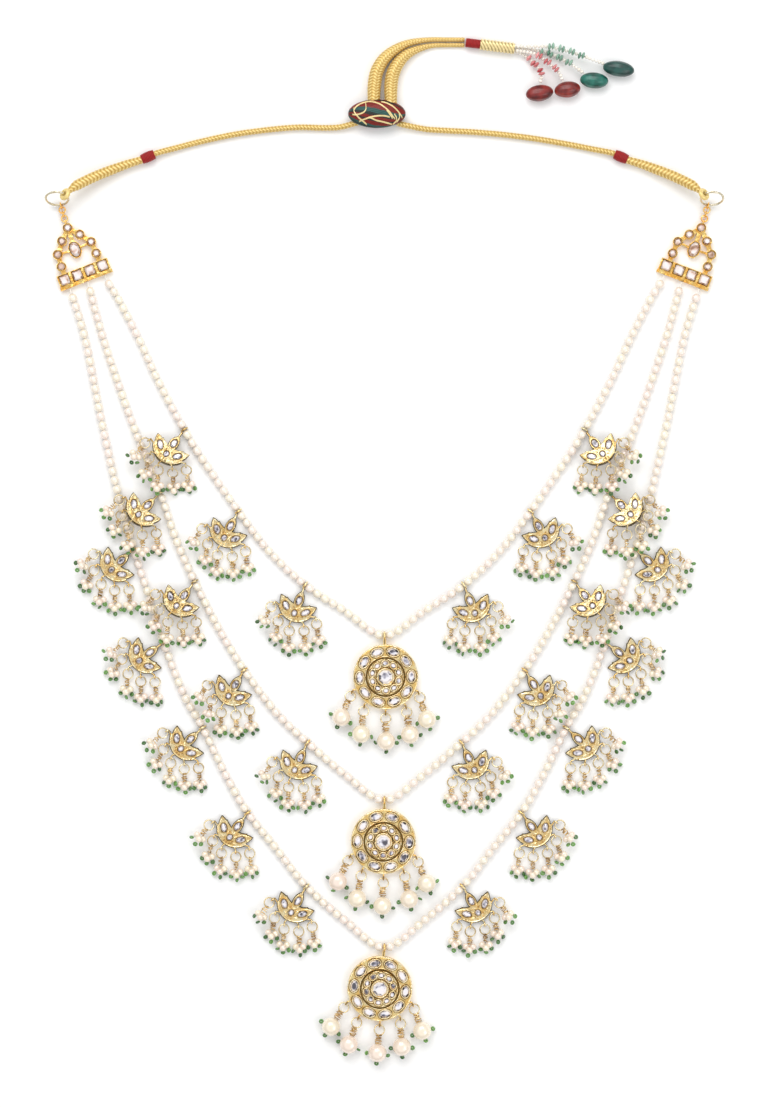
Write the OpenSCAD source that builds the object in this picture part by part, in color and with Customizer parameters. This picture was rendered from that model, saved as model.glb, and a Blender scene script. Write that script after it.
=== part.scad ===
// Kundan necklace lying on its back: three strings of pearls between two end plates, 24 crescent
// motifs and three round pendants with pearl drops, and a golden cord with a slider and a tassel.
// Millimetres. It lies on z = 0, seen from above, with the cord at the far side (+Y).
// What is made for the left side (-X) is mirrored to the right.

/* [Strings] */
// Diameter of a string's pearls
pearl_d = 4; // [3.6:0.1:4.4]
// Diameter of the thread inside them
thread_d = 0.8; // [0.5:0.05:0.9]
// Wire of the bails that ride on the thread
bail_wire = 0.9; // [0.7:0.05:1]
// Distance between two sections of a string
string_step = 17; // [14:1:20]

/* [Motifs] */
// From the centre stone to the three tips
tip_reach = 10.4; // [10:0.1:11]
// Radius of the crescent's lower edge
crescent_r = 8.6; // [8.3:0.1:9]
// From the centre stone to the crescent's lower edge
crescent_low = 3.9; // [3.6:0.1:4.2]
// Radius of the hollow between the tips
notch_r = 8.6; // [8:0.1:9]
// Thickness of the body up to its step
body_t = 1.5; // [1.2:0.1:1.8]
// Height of the raised top
top_t = 0.6; // [0.4:0.1:0.8]
// Height of the rim round a stone
collet_h = 0.5; // [0.3:0.1:0.6]
// Width of that rim
collet_w = 0.45; // [0.35:0.05:0.55]
// From the bail's centre to the centre stone
bail_reach = 13.2; // [13:0.1:14]

/* [Drops] */
// Outer diameter of a jump ring
ring_d = 5; // [4.6:0.1:5.2]
// Wire of rings and eyelets
wire_d = 0.6; // [0.5:0.05:0.7]
// Outer diameter of an eyelet
eyelet_d = 2.3; // [2.2:0.05:2.5]
// Length of the wire-wrapped head
head_l = 3.2; // [2.8:0.1:3.6]
// Diameter of that head
head_d = 1.6; // [1.4:0.1:1.8]
// Length of the wrapped head of a pendant's drop
long_head_l = 4.3; // [3.8:0.1:4.6]
// Diameter of a motif's small pearls
small_pearl_d = 3; // [2.7:0.1:3.1]
// Diameter of a pendant's large pearls
large_pearl_d = 8; // [7:0.1:8.4]

/* [Pendants] */
// Diameter of the disc
disc_d = 28.2; // [27.6:0.1:29]
// Thickness of its rim
rim_t = 2.2; // [1.8:0.1:2.6]
// Height of the ring that holds the oval stones
outer_h = 3.2; // [2.9:0.1:3.6]
// Height of the middle that holds the small stones
inner_h = 4.2; // [3.9:0.1:4.6]
// Radius of the middle
inner_r = 8.2; // [8:0.05:8.4]
// Radius of the circle of the oval stones
oval_ring_r = 11.2; // [11:0.05:11.3]
// Radius of the circle of the small stones
small_ring_r = 5.95; // [5.85:0.05:6.05]
// Diameter of the centre stone
centre_stone_d = 6.8; // [6:0.1:7]
// From the bail's centre to the disc's centre
pendant_reach = 18; // [17.8:0.1:19]

/* [End plates] */
// Length of the bar at a plate's lower edge
bar_l = 24; // [23.6:0.1:26]
// Width of that bar
bar_w = 1.3; // [1.1:0.1:1.6]
// Thickness of the plate
plate_t = 2; // [1.8:0.1:2.4]
// Distance of the two outer strings from the middle one
hole_pitch = 8.2; // [7.8:0.1:8.6]
// Side of a square stone
square_stone = 4.3; // [3.8:0.1:4.5]
// Diameter of the arch's round stones
arch_stone_d = 3.4; // [3:0.1:3.6]

/* [Links] */
// Outer diameter of a chain link
link_d = 3.3; // [3.2:0.05:3.5]
// Outer diameter of the end ring
end_ring_d = 10.8; // [10:0.1:11.4]
// Wire of the end ring
end_ring_wire = 1; // [0.8:0.05:1.1]
// Slope at which the end ring stands
end_ring_slope = 60; // [52:1:64]

/* [Cord] */
// Diameter of the cord between the ties and the slider
cord_d = 2.8; // [2.4:0.1:3]
// Diameter of the thick loop at its tie
loop_d = 3.6; // [3.2:0.1:4]
// Diameter of the ties
tie_d = 4.8; // [4.4:0.1:5.2]
// Length of the ties
tie_l = 6; // [5:0.2:6.4]
// Length of the slider
slider_l = 25; // [24:0.2:27]
// Width of the slider
slider_w = 12.4; // [12:0.1:13]
// Height of the slider
slider_h = 9; // [8.6:0.1:10]

/* [Tassel] */
// Length of the winding that holds the tassel
wrap_l = 15; // [13:0.5:15.4]
// Diameter of that winding
wrap_d = 5; // [4.8:0.1:5.4]
// Diameter of the tassel's strings
tassel_string_d = 1.6; // [1.4:0.1:1.7]
// Length of an oval bead
oval_bead_l = 11.4; // [10:0.1:11.6]
// Diameter of an oval bead
oval_bead_d = 6.8; // [6:0.1:7.2]

/* [Hidden] */
$fn = 48;
eps = 0.01;
stone_gap = 0.15;
lift_gap = 0.2;
socket_gap = 0.15;

// Knots of the left half of each string, from the plate down to its lowest point.
// The bails sit on knots of these lists.
INNER = [[-115.5, 143], [-106.5, 125.5], [-98.5, 108], [-87, 86.5], [-79, 73.5], [-63.5, 51],
         [-50, 33.5], [-34.5, 19], [-17, 7.5], [0, -3]];
MIDDLE = [[-122, 125.5], [-110, 90.5], [-97.5, 59], [-90.5, 38.5], [-82.5, 20.5], [-72, 0], [-61, -18],
          [-47, -36.5], [-33.5, -49.5], [-17, -63.5], [0, -74.5]];
OUTER = [[-130, 125.5], [-123, 90.5], [-116.5, 61.5], [-109, 34.5], [-102, 13], [-96, -6], [-87, -29],
         [-79, -43], [-69, -63.5], [-59.5, -80], [-47.5, -95], [-34, -112], [-17, -127], [0, -138.5]];

// Routes of the cord, from tie to slider and from slider to tassel: [x, y, share of the radius].
LOOP_ROUTE = [[-133.5, 192, 6.6], [-126, 196, 4.4], [-119, 199, 3.1], [-112, 201.6, 2.5]];
CORD_LEFT = [[-90, 209], [-80, 211.6], [-66, 214.6], [-52, 216.6], [-38, 217.8], [-27, 217.6],
             [-20, 217.8]];
CORD_RIGHT = [[90, 208.4], [80, 210.4], [66, 212.8], [52, 214.6], [38, 215.8], [27, 216.4], [18, 217]];
TAIL_LEFT = [[-4.6, 230.6], [-4.4, 236], [-3.3, 241.8], [-0.3, 247.2], [4.5, 251.4], [10.8, 254.5],
             [19, 255.9], [27, 256]];
TAIL_RIGHT = [[2.7, 230.6], [2.8, 236], [3.7, 241], [6.2, 245.8], [9.9, 249.5], [14.8, 251.9],
              [20.7, 253.4], [27, 253.6]];
TAIL_THICK = [2.9, 2.9, 3.1, 3.1, 2.8, 2.3, 1.6, 1.15, 1.05, 1.05];

// Motifs of a left half string: [knot that carries the bail, direction from stone to bail, tilt].
// A motif that reaches the next string lies tilted on it.
INNER_MOTIFS = [[3, 55, 17], [5, 62, 0], [7, 69, 0]];
MIDDLE_MOTIFS = [[2, 46, 17], [4, 54, 14], [6, 59, 0], [8, 65, 0]];
OUTER_MOTIFS = [[3, 43, 0], [5, 37, 0], [7, 44, 0], [9, 54, 0], [11, 60, 0]];

// Eyelets of a motif: [angle from the bail's direction, distance from the centre as a share of
// tip_reach].
EYELETS = [[-84, 0.94], [-122, 0.66], [180, 0.57], [122, 0.66], [84, 0.94]];
// The two horns: angle and share of tip_reach at which their stones sit, and their own turn
horn_a = 67;
horn_reach = 0.47;
horn_turn = 45;
// Stones of a motif: [angle, distance as a share of tip_reach, length, width, turn].
MOTIF_STONES = [[0, 0, 3, 2.6, 0], [0, 0.56, 4.2, 2.8, 0], [horn_a, horn_reach, 4.4, 2.8, horn_turn],
                [-horn_a, horn_reach, 4.4, 2.8, -horn_turn]];
hang_share = 0.9;
hang_swing = 78;
// The last drop of a motif: how far its head swings on towards straight down, as a share, and
// the height of the ring beside it, which it lies over
head_share = 0.3;
last_over = 2.2;

// Pendants: turn from hanging straight down.
PENDANT_TURNS = [1.5, -1.5, -6.5];
// Eyelets of a pendant: angle round the disc.
PENDANT_EYELETS = [204, 234, 270, 304, 334];
// Directions in which each pendant's drops lie.
PENDANT_HANGS = [[247, 264, 271, 278, 288], [244, 260, 268, 281, 292], [236, 250, 265, 273, 290]];
oval_count = 10;
small_count = 10;

// Arch of an end plate: places of its stones as shares of bar_l.
ARCH = [[-0.338, 0.385], [-0.322, 0.612], [-0.163, 0.81], [0.02, 1], [0.18, 0.81], [0.325, 0.612],
        [0.338, 0.385]];
PLATE_AT = [-129.5, 151.5];
plate_turn = 21;
chain_turn = 105;

pearl_r = pearl_d / 2;
thread_r = thread_d / 2;
wire_r = wire_d / 2;
bail_r = pearl_r - 0.15 - bail_wire / 2;
string_r = pearl_r;
eyelet_r = eyelet_d / 2 - wire_r;
ring_r = ring_d / 2 - wire_r;
small_r = small_pearl_d / 2;
large_r = large_pearl_d / 2;
low_z = eyelet_r + wire_r + 0.1;
centre_u = crescent_r - crescent_low;
top_z = body_t + top_t;
// Along a drop, from its eyelet's centre
head_at = 2 * ring_r - wire_r;
ball_at = head_at + head_l + 0.3;
pair_at = ball_at + small_r * 0.8;
pair_side = small_r * 1.067;
front_at = pair_at + small_r * 0.856;
front_up = small_r * 1.367;
large_at = head_at + long_head_l + large_r - 0.2;
hole_z = plate_t - 0.8;
hole_r = thread_r + 0.25;
slider_at = [-3.3, 223.4, slider_h / 2];
tail_seat = slider_w / 2 - 1.8;
TASSEL_AT = [34.8, 254.6];
tassel_turn = -7;

// Curves and sweeps

function mix(a, b, t) = a * (1 - t) + b * t;
function unit(v) = v / norm(v);
function flat(p) = [p[0], p[1]];
function polar(r, a) = [r * cos(a), r * sin(a)];
function clamp(v, low, high) = min(max(v, low), high);

// A smooth curve through all points of a list; s counts the points
function knot(list, i) = list[clamp(i, 0, len(list) - 1)];
function curve(list, s) =
    let (i = min(floor(s), len(list) - 2), t = s - i,
         a = knot(list, i - 1), b = knot(list, i), c = knot(list, i + 1), d = knot(list, i + 2))
    0.5 * (2 * b + (c - a) * t + (2 * a - 5 * b + 4 * c - d) * t * t
           + (3 * b - a - 3 * c + d) * t * t * t);
function heading(list, s) =
    unit(curve(list, min(s + 0.02, len(list) - 1)) - curve(list, max(s - 0.02, 0)));

// One section of a tube: n points round the centre, across the heading
function section(centre, dir, r, n) =
    let (side = unit([dir[1], -dir[0], 0]), up = cross(side, dir))
    [for (k = [0 : n - 1]) centre + r * (cos(360 * k / n) * side + sin(360 * k / n) * up)];

// A closed tube through stations of [place along the list, radius]
module tube(list, stations, n) {
    m = len(stations);
    points = [for (st = stations) each section(curve(list, st[0]), heading(list, st[0]), st[1], n)];
    walls = [for (i = [0 : m - 2], k = [0 : n - 1])
        let (a = i * n + k, b = i * n + (k + 1) % n) each [[a, b, a + n], [b, b + n, a + n]]];
    first = [for (k = [n - 1 : -1 : 0]) k];
    last = [for (k = [0 : n - 1]) (m - 1) * n + k];
    polyhedron(points, concat([first], walls, [last]));
}

module lie(p, turn) {
    translate([p[0], p[1], 0]) rotate([0, 0, turn]) children();
}

module both_sides() {
    children();
    mirror([1, 0, 0]) children();
}

module torus(r, wire) {
    rotate_extrude() translate([r, 0]) circle(wire, $fn = 24);
}

// A ring that stands upright with its opening across +X
module standing_ring(r, wire) {
    rotate([90, 0, 0]) torus(r, wire);
}

module rod(from, to, r) {
    d = to - from;
    translate(from) rotate([0, acos(d[2] / norm(d)), atan2(d[1], d[0])]) cylinder(norm(d), r, r);
}

// Stones and their rims

facets = 8;
function oval(a, b) = [for (k = [0 : facets - 1])
    let (t = 360 * (k + 0.5) / facets) [a * cos(t) / cos(180 / facets), b * sin(t) / cos(180 / facets)]];

// A cut stone: a straight girdle, eight crown facets and a table, on its flat foiled back
module stone(a, b, h) {
    translate([0, 0, h * 0.4 - eps]) linear_extrude(h * 0.6, scale = 0.62) polygon(oval(a, b));
    linear_extrude(h * 0.4) polygon(oval(a, b));
}

// The same for a round seat of radius r
module round_stone(r, h) {
    a = r * cos(180 / facets);
    stone(a, a, h);
}

module collet(a, b, h) {
    linear_extrude(h) difference() {
        polygon(oval(a + collet_w, b + collet_w));
        polygon(oval(a, b));
    }
}

module pocket(a, b, h) {
    linear_extrude(h) polygon(oval(a, b));
}

// Strings

function plate_point(p) = PLATE_AT + [p[0] * cos(plate_turn) - p[1] * sin(plate_turn),
                                      p[0] * sin(plate_turn) + p[1] * cos(plate_turn)];
function string_start(x) = let (p = plate_point([x, 0])) [p[0], p[1], hole_z];
function string_out(x) = let (p = plate_point([x, -bar_w / 2 - 0.5])) [p[0], p[1], hole_z];
function string_second(x) = let (p = plate_point([x, -bar_w / 2 - pearl_r - 0.6])) [p[0], p[1], pearl_r];
function half_route(list, x) = concat([string_start(x), string_out(x), string_second(x)],
                                      [for (p = list) [p[0], p[1], pearl_r]]);
function mirrored(list) = [for (i = [len(list) - 2 : -1 : 0]) [-list[i][0], list[i][1], list[i][2]]];
function whole_route(list, x) = let (h = half_route(list, x)) concat(h, mirrored(h));
// The lists start three places later than the route, after the plate's hole and the first pearl
lead = 3;

// Sections between the knots of a string: full width on the way, the bare thread at a bail
function bail_knots(list, motifs) =
    let (n = len(list) + lead, own = [for (m = motifs) m[0] + lead])
    concat(own, [n - 1], [for (k = own) 2 * (n - 1) - k]);
bare = 0.8;
flare = 2.1;
function string_stations(route, bails) = [
    for (i = [0 : len(route) - 2])
        let (l = norm(route[i + 1] - route[i]), m = max(1, round(l / string_step)),
             thin = i == 0 || i == len(route) - 2,
             here = len(search(i, bails)) > 0, there = len(search(i + 1, bails)) > 0,
             from = here ? flare / l : 0, to = there ? 1 - flare / l : 1)
        each concat(
            thin || i == 1 ? [[i, thread_r]] : here ? [[i + bare / l, thread_r], [i + from, string_r]]
                : i == len(route) - 3 || i == 2 ? [[i, string_r]] : [[i, string_r]],
            thin ? [] : [for (k = [1 : 1 : m - 1]) [i + mix(from, to, k / m), string_r]],
            there ? [[i + to, string_r], [i + 1 - bare / l, thread_r]] : [],
            i == len(route) - 2 ? [[i + 1, thread_r]] : [])];

module pearl_string(list, motifs, x) {
    route = whole_route(list, x);
    color("ivory") tube(route, string_stations(route, bail_knots(list, motifs)), 8);
}

// How far a point lies from the middle line of the strings
function to_segment(p, a, b) =
    let (t = clamp((p - a) * (b - a) / ((b - a) * (b - a)), 0, 1)) norm(p - mix(a, b, t));
function to_list(p, list) = min([for (i = [0 : len(list) - 2]) to_segment(p, list[i], list[i + 1])]);
function to_strings(p) = min(to_list(p, INNER), to_list(p, MIDDLE), to_list(p, OUTER));

// Motifs

// Places in a motif: u runs from the bail away through the centre stone, and the tilt lifts it
function bail_at(list, m) = let (p = list[m[0]]) [p[0], p[1], pearl_r];
function reach_of(m) = bail_reach / cos(m[2]);
function motif_place(list, m, angle, reach, z) =
    let (u = -reach_of(m) + reach * cos(angle), v = reach * sin(angle), w = z - pearl_r,
         x = u * cos(m[2]) + w * sin(m[2]), up = -u * sin(m[2]) + w * cos(m[2]))
    bail_at(list, m) + [x * cos(m[1]) - v * sin(m[1]), x * sin(m[1]) + v * cos(m[1]), up];
function eyelet_place(list, m, e) = motif_place(list, m, e[0], e[1] * tip_reach, low_z);
function hang(radial) =
    let (r = (radial + 360) % 360) r + clamp((270 - r) * hang_share, -hang_swing, hang_swing);

module motif_local(m) {
    rotate([0, 0, m[1]]) translate([0, 0, pearl_r]) rotate([0, m[2], 0])
        translate([-reach_of(m), 0, -pearl_r]) children();
}

// A pointed leaf of half length a and half width b, held back by inset all round
module leaf(a, b, inset) {
    r = (a * a + b * b) / (2 * b);
    intersection() {
        translate([0, r - b]) circle(r - inset, $fn = 96);
        translate([0, b - r]) circle(r - inset, $fn = 96);
    }
}

// The crescent with its three tips, held back by inset all round
module crescent(inset) {
    difference() {
        intersection() {
            translate([centre_u, 0]) circle(crescent_r - inset, $fn = 96);
            circle(tip_reach * 0.74 - inset, $fn = 96);
        }
        translate([centre_u + notch_r - 0.8, 0]) circle(notch_r + inset, $fn = 96);
    }
    translate([tip_reach * 0.55, 0]) leaf(tip_reach * 0.45, 2.2, inset);
    for (s = [-1, 1])
        translate(polar(tip_reach * horn_reach, s * horn_a)) rotate([0, 0, s * horn_turn])
            leaf(tip_reach * 0.53, 2.35, inset);
}

module eyelet(p, turn, inward) {
    translate(p) rotate([0, 0, turn]) standing_ring(eyelet_r, wire_r);
    rod(p - [each polar(eyelet_r, turn), 0], p + inward, wire_r * 1.25);
}

module motif(list, m) {
    color("gold") {
        translate(flat(list[m[0]])) motif_local(m) difference() {
            union() {
                linear_extrude(body_t) crescent(0);
                linear_extrude(top_z) crescent(0.3);
                for (s = MOTIF_STONES)
                    translate(polar(s[1] * tip_reach, s[0])) rotate([0, 0, s[4]])
                        translate([0, 0, top_z - eps]) collet(s[2] / 2, s[3] / 2, collet_h);
                translate([tip_reach - 2.6, 0, body_t * 0.8]) rotate([0, 90, 0])
                    cylinder(reach_of(m) - tip_reach + 2.6 - bail_r, 0.5, 0.5);
            }
            for (s = MOTIF_STONES)
                translate(polar(s[1] * tip_reach, s[0])) rotate([0, 0, s[4]])
                    translate([0, 0, top_z - 0.5]) pocket(s[2] / 2, s[3] / 2, 0.5 + collet_h);
        }
        bail(bail_at(list, m), heading([for (p = list) [p[0], p[1], 0]], m[0]));
        for (e = EYELETS) {
            p = eyelet_place(list, m, e);
            radial = m[1] + e[0];
            inward = motif_place(list, m, e[0], e[1] * tip_reach - 3.2, low_z)
                     - motif_place(list, m, e[0], e[1] * tip_reach, low_z);
            eyelet(p, hang(radial), inward);
        }
    }
}

module bail(p, dir) {
    translate(p) rotate([0, 0, atan2(dir[1], dir[0])]) rotate([0, 90, 0]) torus(bail_r, bail_wire / 2);
}

// Drops

// Rise that a drop needs where it crosses a string, or to lie down beside it
function need_z(p, half, thick) = to_strings(p) < string_r + half + 0.15
    ? 2 * string_r + thick + lift_gap : thick + 0.1;
function rise_at(p, turn, bend, s, half, thick) =
    let (along = ring_r + (s - ring_r) * cos(bend),
         place = flat(p) + polar(ring_r, turn) + polar(s - ring_r, turn + bend))
    asin(clamp((need_z(place, half, thick) - p[2]) / along, -0.55, 0.8));
function rise(p, turn, bend, over) = max(asin((over + small_r - p[2]) / pair_at),
                                   rise_at(p, turn, bend, pair_at, 2 * small_r, small_r),
                                   rise_at(p, turn, bend, head_at + head_l / 2, head_d / 2, head_d / 2),
                                   rise_at(p, turn, bend, head_at, ring_r / 2, head_d / 2),
                                   rise_at(p, turn, bend, ring_r, ring_r, wire_r));

module jump_ring() {
    translate([ring_r, 0, 0]) torus(ring_r, wire_r);
}

module head(l) {
    translate([head_at, 0, 0]) rotate([0, 90, 0]) cylinder(l, head_d / 2, head_d / 2);
}

// The head has slid along its ring by the bend, so that it hangs more nearly straight down
module pearl_bunch(bend) {
    jump_ring();
    translate([ring_r, 0, 0]) rotate([0, 0, bend]) translate([-ring_r, 0, 0]) {
        head(head_l);
        translate([ball_at, 0, 0]) sphere(head_d / 2 + 0.15);
        for (s = [-1, 1])
            translate([pair_at, s * pair_side, 0]) sphere(small_r);
        translate([front_at, 0, front_up]) sphere(small_r);
    }
}

module motif_drops(list, motifs) {
    color("wheat")
        for (m = motifs, e = EYELETS) {
            p = eyelet_place(list, m, e);
            turn = hang(m[1] + e[0]);
            last = e[0] == EYELETS[len(EYELETS) - 1][0];
            bend = last ? (270 - turn) * head_share : 0;
            up = rise(p, turn, bend, last ? last_over : 0.05);
            translate(p) rotate([0, 0, turn]) rotate([0, -up, 0]) pearl_bunch(bend);
        }
}

// Round pendants

function pendant_centre(list, k) = flat(list[len(list) - 1]) + polar(pendant_reach, -90 + PENDANT_TURNS[k]);
function pendant_eyelet(list, k, i) =
    let (p = pendant_centre(list, k) + polar(disc_d / 2 + 1.8, PENDANT_EYELETS[i])) [p[0], p[1], low_z];

module disc_stones(list, k, extra) {
    lie(pendant_centre(list, k), PENDANT_TURNS[k]) {
        translate([0, 0, inner_h]) children(0);
        for (i = [0 : oval_count - 1])
            rotate([0, 0, 360 * (i + 0.5) / oval_count + 90]) translate([oval_ring_r, 0, outer_h])
                rotate([0, 0, 90]) children(1);
        for (i = [0 : small_count - 1])
            rotate([0, 0, 360 * i / small_count + 90]) translate([small_ring_r, 0, inner_h - 0.3])
                rotate([0, 0, 90]) children(2);
    }
}

oval_a = 2.55;
oval_b = 1.65;
small_a = 1.4;
small_b = 1.15;
seat = 0.7;

module disc_body() {
    r = disc_d / 2;
    rotate_extrude($fn = 96) polygon([
        [0, 0], [r, 0], [r, rim_t], [r - 0.7, outer_h], [inner_r + 0.7, outer_h],
        [inner_r + 0.3, outer_h - 0.9], [inner_r, outer_h - 0.9], [inner_r - 0.3, inner_h - 0.3],
        [centre_stone_d / 2 + 0.9, inner_h - 0.3],
        [centre_stone_d / 2 + 0.7, inner_h], [0, inner_h]]);
}

module pendant(list, k) {
    color("gold") {
        difference() {
            union() {
                lie(pendant_centre(list, k), 0) disc_body();
                disc_stones(list, k) {
                    translate([0, 0, -eps]) difference() {
                        cylinder(collet_h, centre_stone_d / 2 + collet_w, centre_stone_d / 2 + collet_w);
                        translate([0, 0, -1]) cylinder(2, centre_stone_d / 2, centre_stone_d / 2);
                    }
                    translate([0, 0, -eps]) collet(oval_a, oval_b, collet_h);
                    translate([0, 0, -eps]) collet(small_a, small_b, collet_h);
                }
                p = pendant_centre(list, k);
                b = flat(list[len(list) - 1]);
                in = unit(b - p);
                rod([each (b - in * bail_r), body_t], [each (p + in * (disc_d / 2 - 1)), body_t], 0.6);
            }
            disc_stones(list, k) {
                translate([0, 0, -seat]) cylinder(seat + 1, centre_stone_d / 2, centre_stone_d / 2);
                translate([0, 0, -seat]) pocket(oval_a, oval_b, seat + 1);
                translate([0, 0, -seat]) pocket(small_a, small_b, seat + 1);
            }
        }
        bail([each flat(list[len(list) - 1]), pearl_r], [1, 0, 0]);
        for (i = [0 : len(PENDANT_EYELETS) - 1])
            eyelet(pendant_eyelet(list, k, i), PENDANT_HANGS[k][i],
                   [each polar(-2.6, PENDANT_EYELETS[i]), 0]);
    }
}

module stones_of_pendant(list, k) {
    color("white") disc_stones(list, k) {
        translate([0, 0, stone_gap - seat])
            round_stone(centre_stone_d / 2 - stone_gap, 1.9);
        translate([0, 0, stone_gap - seat]) stone(oval_a - stone_gap, oval_b - stone_gap, 1.5);
        translate([0, 0, stone_gap - seat]) stone(small_a - stone_gap, small_b - stone_gap, 1.3);
    }
}

module pearl_drop() {
    jump_ring();
    head(long_head_l);
    translate([large_at, 0, 0]) sphere(large_r);
}

module pendant_drops(list, k) {
    color("wheat")
        for (i = [0 : len(PENDANT_EYELETS) - 1]) {
            p = pendant_eyelet(list, k, i);
            up = asin((large_r + 0.02 - p[2]) / large_at);
            translate(p) rotate([0, 0, PENDANT_HANGS[k][i]]) rotate([0, -up, 0]) pearl_drop();
        }
}

// End plates

function arch(i) = [ARCH[i][0] * bar_l, ARCH[i][1] * bar_l];
plate_centre = [0.004 * bar_l, 0.588 * bar_l];
centre_a = 3.3;
centre_b = 2.2;
arch_r = arch_stone_d / 2;
square_pitch = (bar_l - 0.6) / 4;
square_y = bar_w / 2 + square_stone / 2 + 0.5;
eye_at = [ARCH[3][0] * bar_l, bar_l + arch_r + collet_w + eyelet_r];

module plate_seats() {
    for (i = [0 : len(ARCH) - 1])
        translate(arch(i)) children(0);
    translate(plate_centre) rotate([0, 0, 90]) children(1);
    for (i = [0 : 3])
        translate([(i - 1.5) * square_pitch, square_y]) children(2);
}

module square_rim(side, w, h) {
    translate([-side / 2 - w, -side / 2 - w, 0]) cube([side + 2 * w, side + 2 * w, h]);
}

module bridge(a, b, w) {
    d = b - a;
    translate(a) rotate([0, 0, atan2(d[1], d[0])]) translate([0, -w / 2, 0])
        cube([norm(d), w, plate_t - 0.5]);
}

module end_plate() {
    color("gold") lie(PLATE_AT, plate_turn) difference() {
        union() {
            translate([-bar_l / 2, -bar_w / 2, 0]) cube([bar_l, bar_w, plate_t + 0.3]);
            translate([-bar_l / 2 + 0.3, 0, 0])
                cube([bar_l - 0.6, square_y + square_stone / 2 + 0.5, plate_t]);
            plate_seats() {
                cylinder(plate_t + collet_h, arch_r + collet_w, arch_r + collet_w);
                linear_extrude(plate_t + collet_h) polygon(oval(centre_a + collet_w, centre_b + collet_w));
                square_rim(square_stone, 0.3, plate_t + 0.3);
            }
            for (i = [0 : len(ARCH) - 2])
                bridge(arch(i), arch(i + 1), 2);
            for (i = [0, len(ARCH) - 1])
                bridge([arch(i)[0], square_y], arch(i), 2);
            bridge(arch(3), plate_centre, 1.8);
            for (i = [1, 5])
                bridge(arch(i), plate_centre, 0.9);
            translate([each eye_at, low_z]) rotate([0, 0, chain_turn - plate_turn])
                standing_ring(eyelet_r, wire_r);
            rod([eye_at[0], eye_at[1] - eyelet_r, low_z], [eye_at[0], bar_l, low_z], wire_r * 1.25);
        }
        translate([0, 0, plate_t - 0.7]) plate_seats() {
            cylinder(2, arch_r, arch_r);
            pocket(centre_a, centre_b, 2);
            square_rim(square_stone, 0, 2);
        }
        for (x = [-hole_pitch, 0, hole_pitch])
            translate([x, bar_w + 1, hole_z]) rotate([90, 0, 0]) cylinder(2 * bar_w + 2, hole_r, hole_r);
    }
}

module plate_stones() {
    color("mistyrose") lie(PLATE_AT, plate_turn) translate([0, 0, plate_t - 0.7 + stone_gap])
        plate_seats() {
            round_stone(arch_r - stone_gap, 1.5);
            stone(centre_a - stone_gap, centre_b - stone_gap, 1.9);
            square_cut(square_stone - 2 * stone_gap, 1.4);
        }
}

// A square stone: table, four bevels and four cut corners
module square_cut(side, h) {
    c = side * 0.16;
    q = side / 2;
    outline = [[-q, -q + c], [-q + c, -q], [q - c, -q], [q, -q + c], [q, q - c], [q - c, q], [-q + c, q],
               [-q, q - c]];
    linear_extrude(h * 0.5) polygon(outline);
    translate([0, 0, h * 0.5 - eps]) linear_extrude(h * 0.5, scale = 0.7) polygon(outline);
}

// Chains and end rings

link_r = link_d / 2 - wire_r;
link_pitch = 2 * link_r - wire_d - 0.2;
chain_from = [each plate_point(eye_at), low_z];
chain_dir = [each polar(1, chain_turn), 0];
link_z = max(link_d / 2 + 0.05, low_z);
hook = chain_from + chain_dir * (link_r + 3 * link_pitch + link_r - wire_r - end_ring_wire / 2 - 0.15);
end_r = end_ring_d / 2 - end_ring_wire / 2;
hook_a = -75;
function on_end_ring(a) = end_r * [cos(a), sin(a) * cos(end_ring_slope), sin(a) * sin(end_ring_slope)];
end_ring_centre = [hook[0], hook[1], link_z] - on_end_ring(hook_a);

module chain() {
    color("goldenrod")
        for (i = [0 : 3])
            translate(chain_from + chain_dir * (link_r + i * link_pitch)) rotate([0, 0, chain_turn])
                translate([0, 0, i == 0 ? 0 : link_z - low_z])
                    if (i % 2 == 0) torus(link_r, wire_r);
                    else standing_ring(link_r, wire_r);
}

module end_ring() {
    color("silver") translate(end_ring_centre) rotate([end_ring_slope, 0, 0]) torus(end_r, end_ring_wire / 2);
}

// Cord

loop_a = 40;
loop_wire = 1;
loop_eye_r = end_ring_wire / 2 + loop_wire + 0.35;
loop_at = end_ring_centre + on_end_ring(loop_a);
loop_dir = unit([each (flat(LOOP_ROUTE[0]) - flat(loop_at)), LOOP_ROUTE[0][2] - loop_at[2]]);
tie_at = [-102.7, 204.9, tie_d / 2];
tie_turn = 23;
tie_dir = [each polar(1, tie_turn), 0];
tie_seat = 1.6;
// Inside the tie the cord's two parts stop a little short of the seat's bottom
tie_in = tie_l / 2 - tie_seat + 0.2;
loop_route = concat([loop_at + loop_dir * loop_eye_r], LOOP_ROUTE,
                    [tie_at - tie_dir * (tie_l / 2 + 1), tie_at - tie_dir * tie_in]);
LOOP_THICK = [0.6, 1.35, 1.35, 1.3, 1.15, 1, 1];

module cord_loop() {
    color("gold") {
        translate(loop_at) rotate([end_ring_slope, 0, 0]) rotate([0, 0, loop_a]) rotate([90, 0, 0])
            torus(loop_eye_r, loop_wire);
        tube(loop_route, [for (i = [0 : 0.5 : 6])
            [i, loop_d / 2 * mix(LOOP_THICK[floor(i)], LOOP_THICK[ceil(i)], i - floor(i))]], 10);
    }
}

module cord_tie() {
    color("crimson") translate(tie_at) rotate([0, 0, tie_turn]) rotate([0, 90, 0]) difference() {
        translate([0, 0, -tie_l / 2]) cylinder(tie_l, tie_d / 2, tie_d / 2);
        translate([0, 0, -tie_l])
            cylinder(tie_l / 2 + tie_seat, loop_d / 2 + socket_gap, loop_d / 2 + socket_gap);
        translate([0, 0, tie_l / 2 - tie_seat]) cylinder(tie_l, cord_r + 0.4, cord_r + 0.4);
    }
}

cord_r = cord_d / 2;
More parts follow.
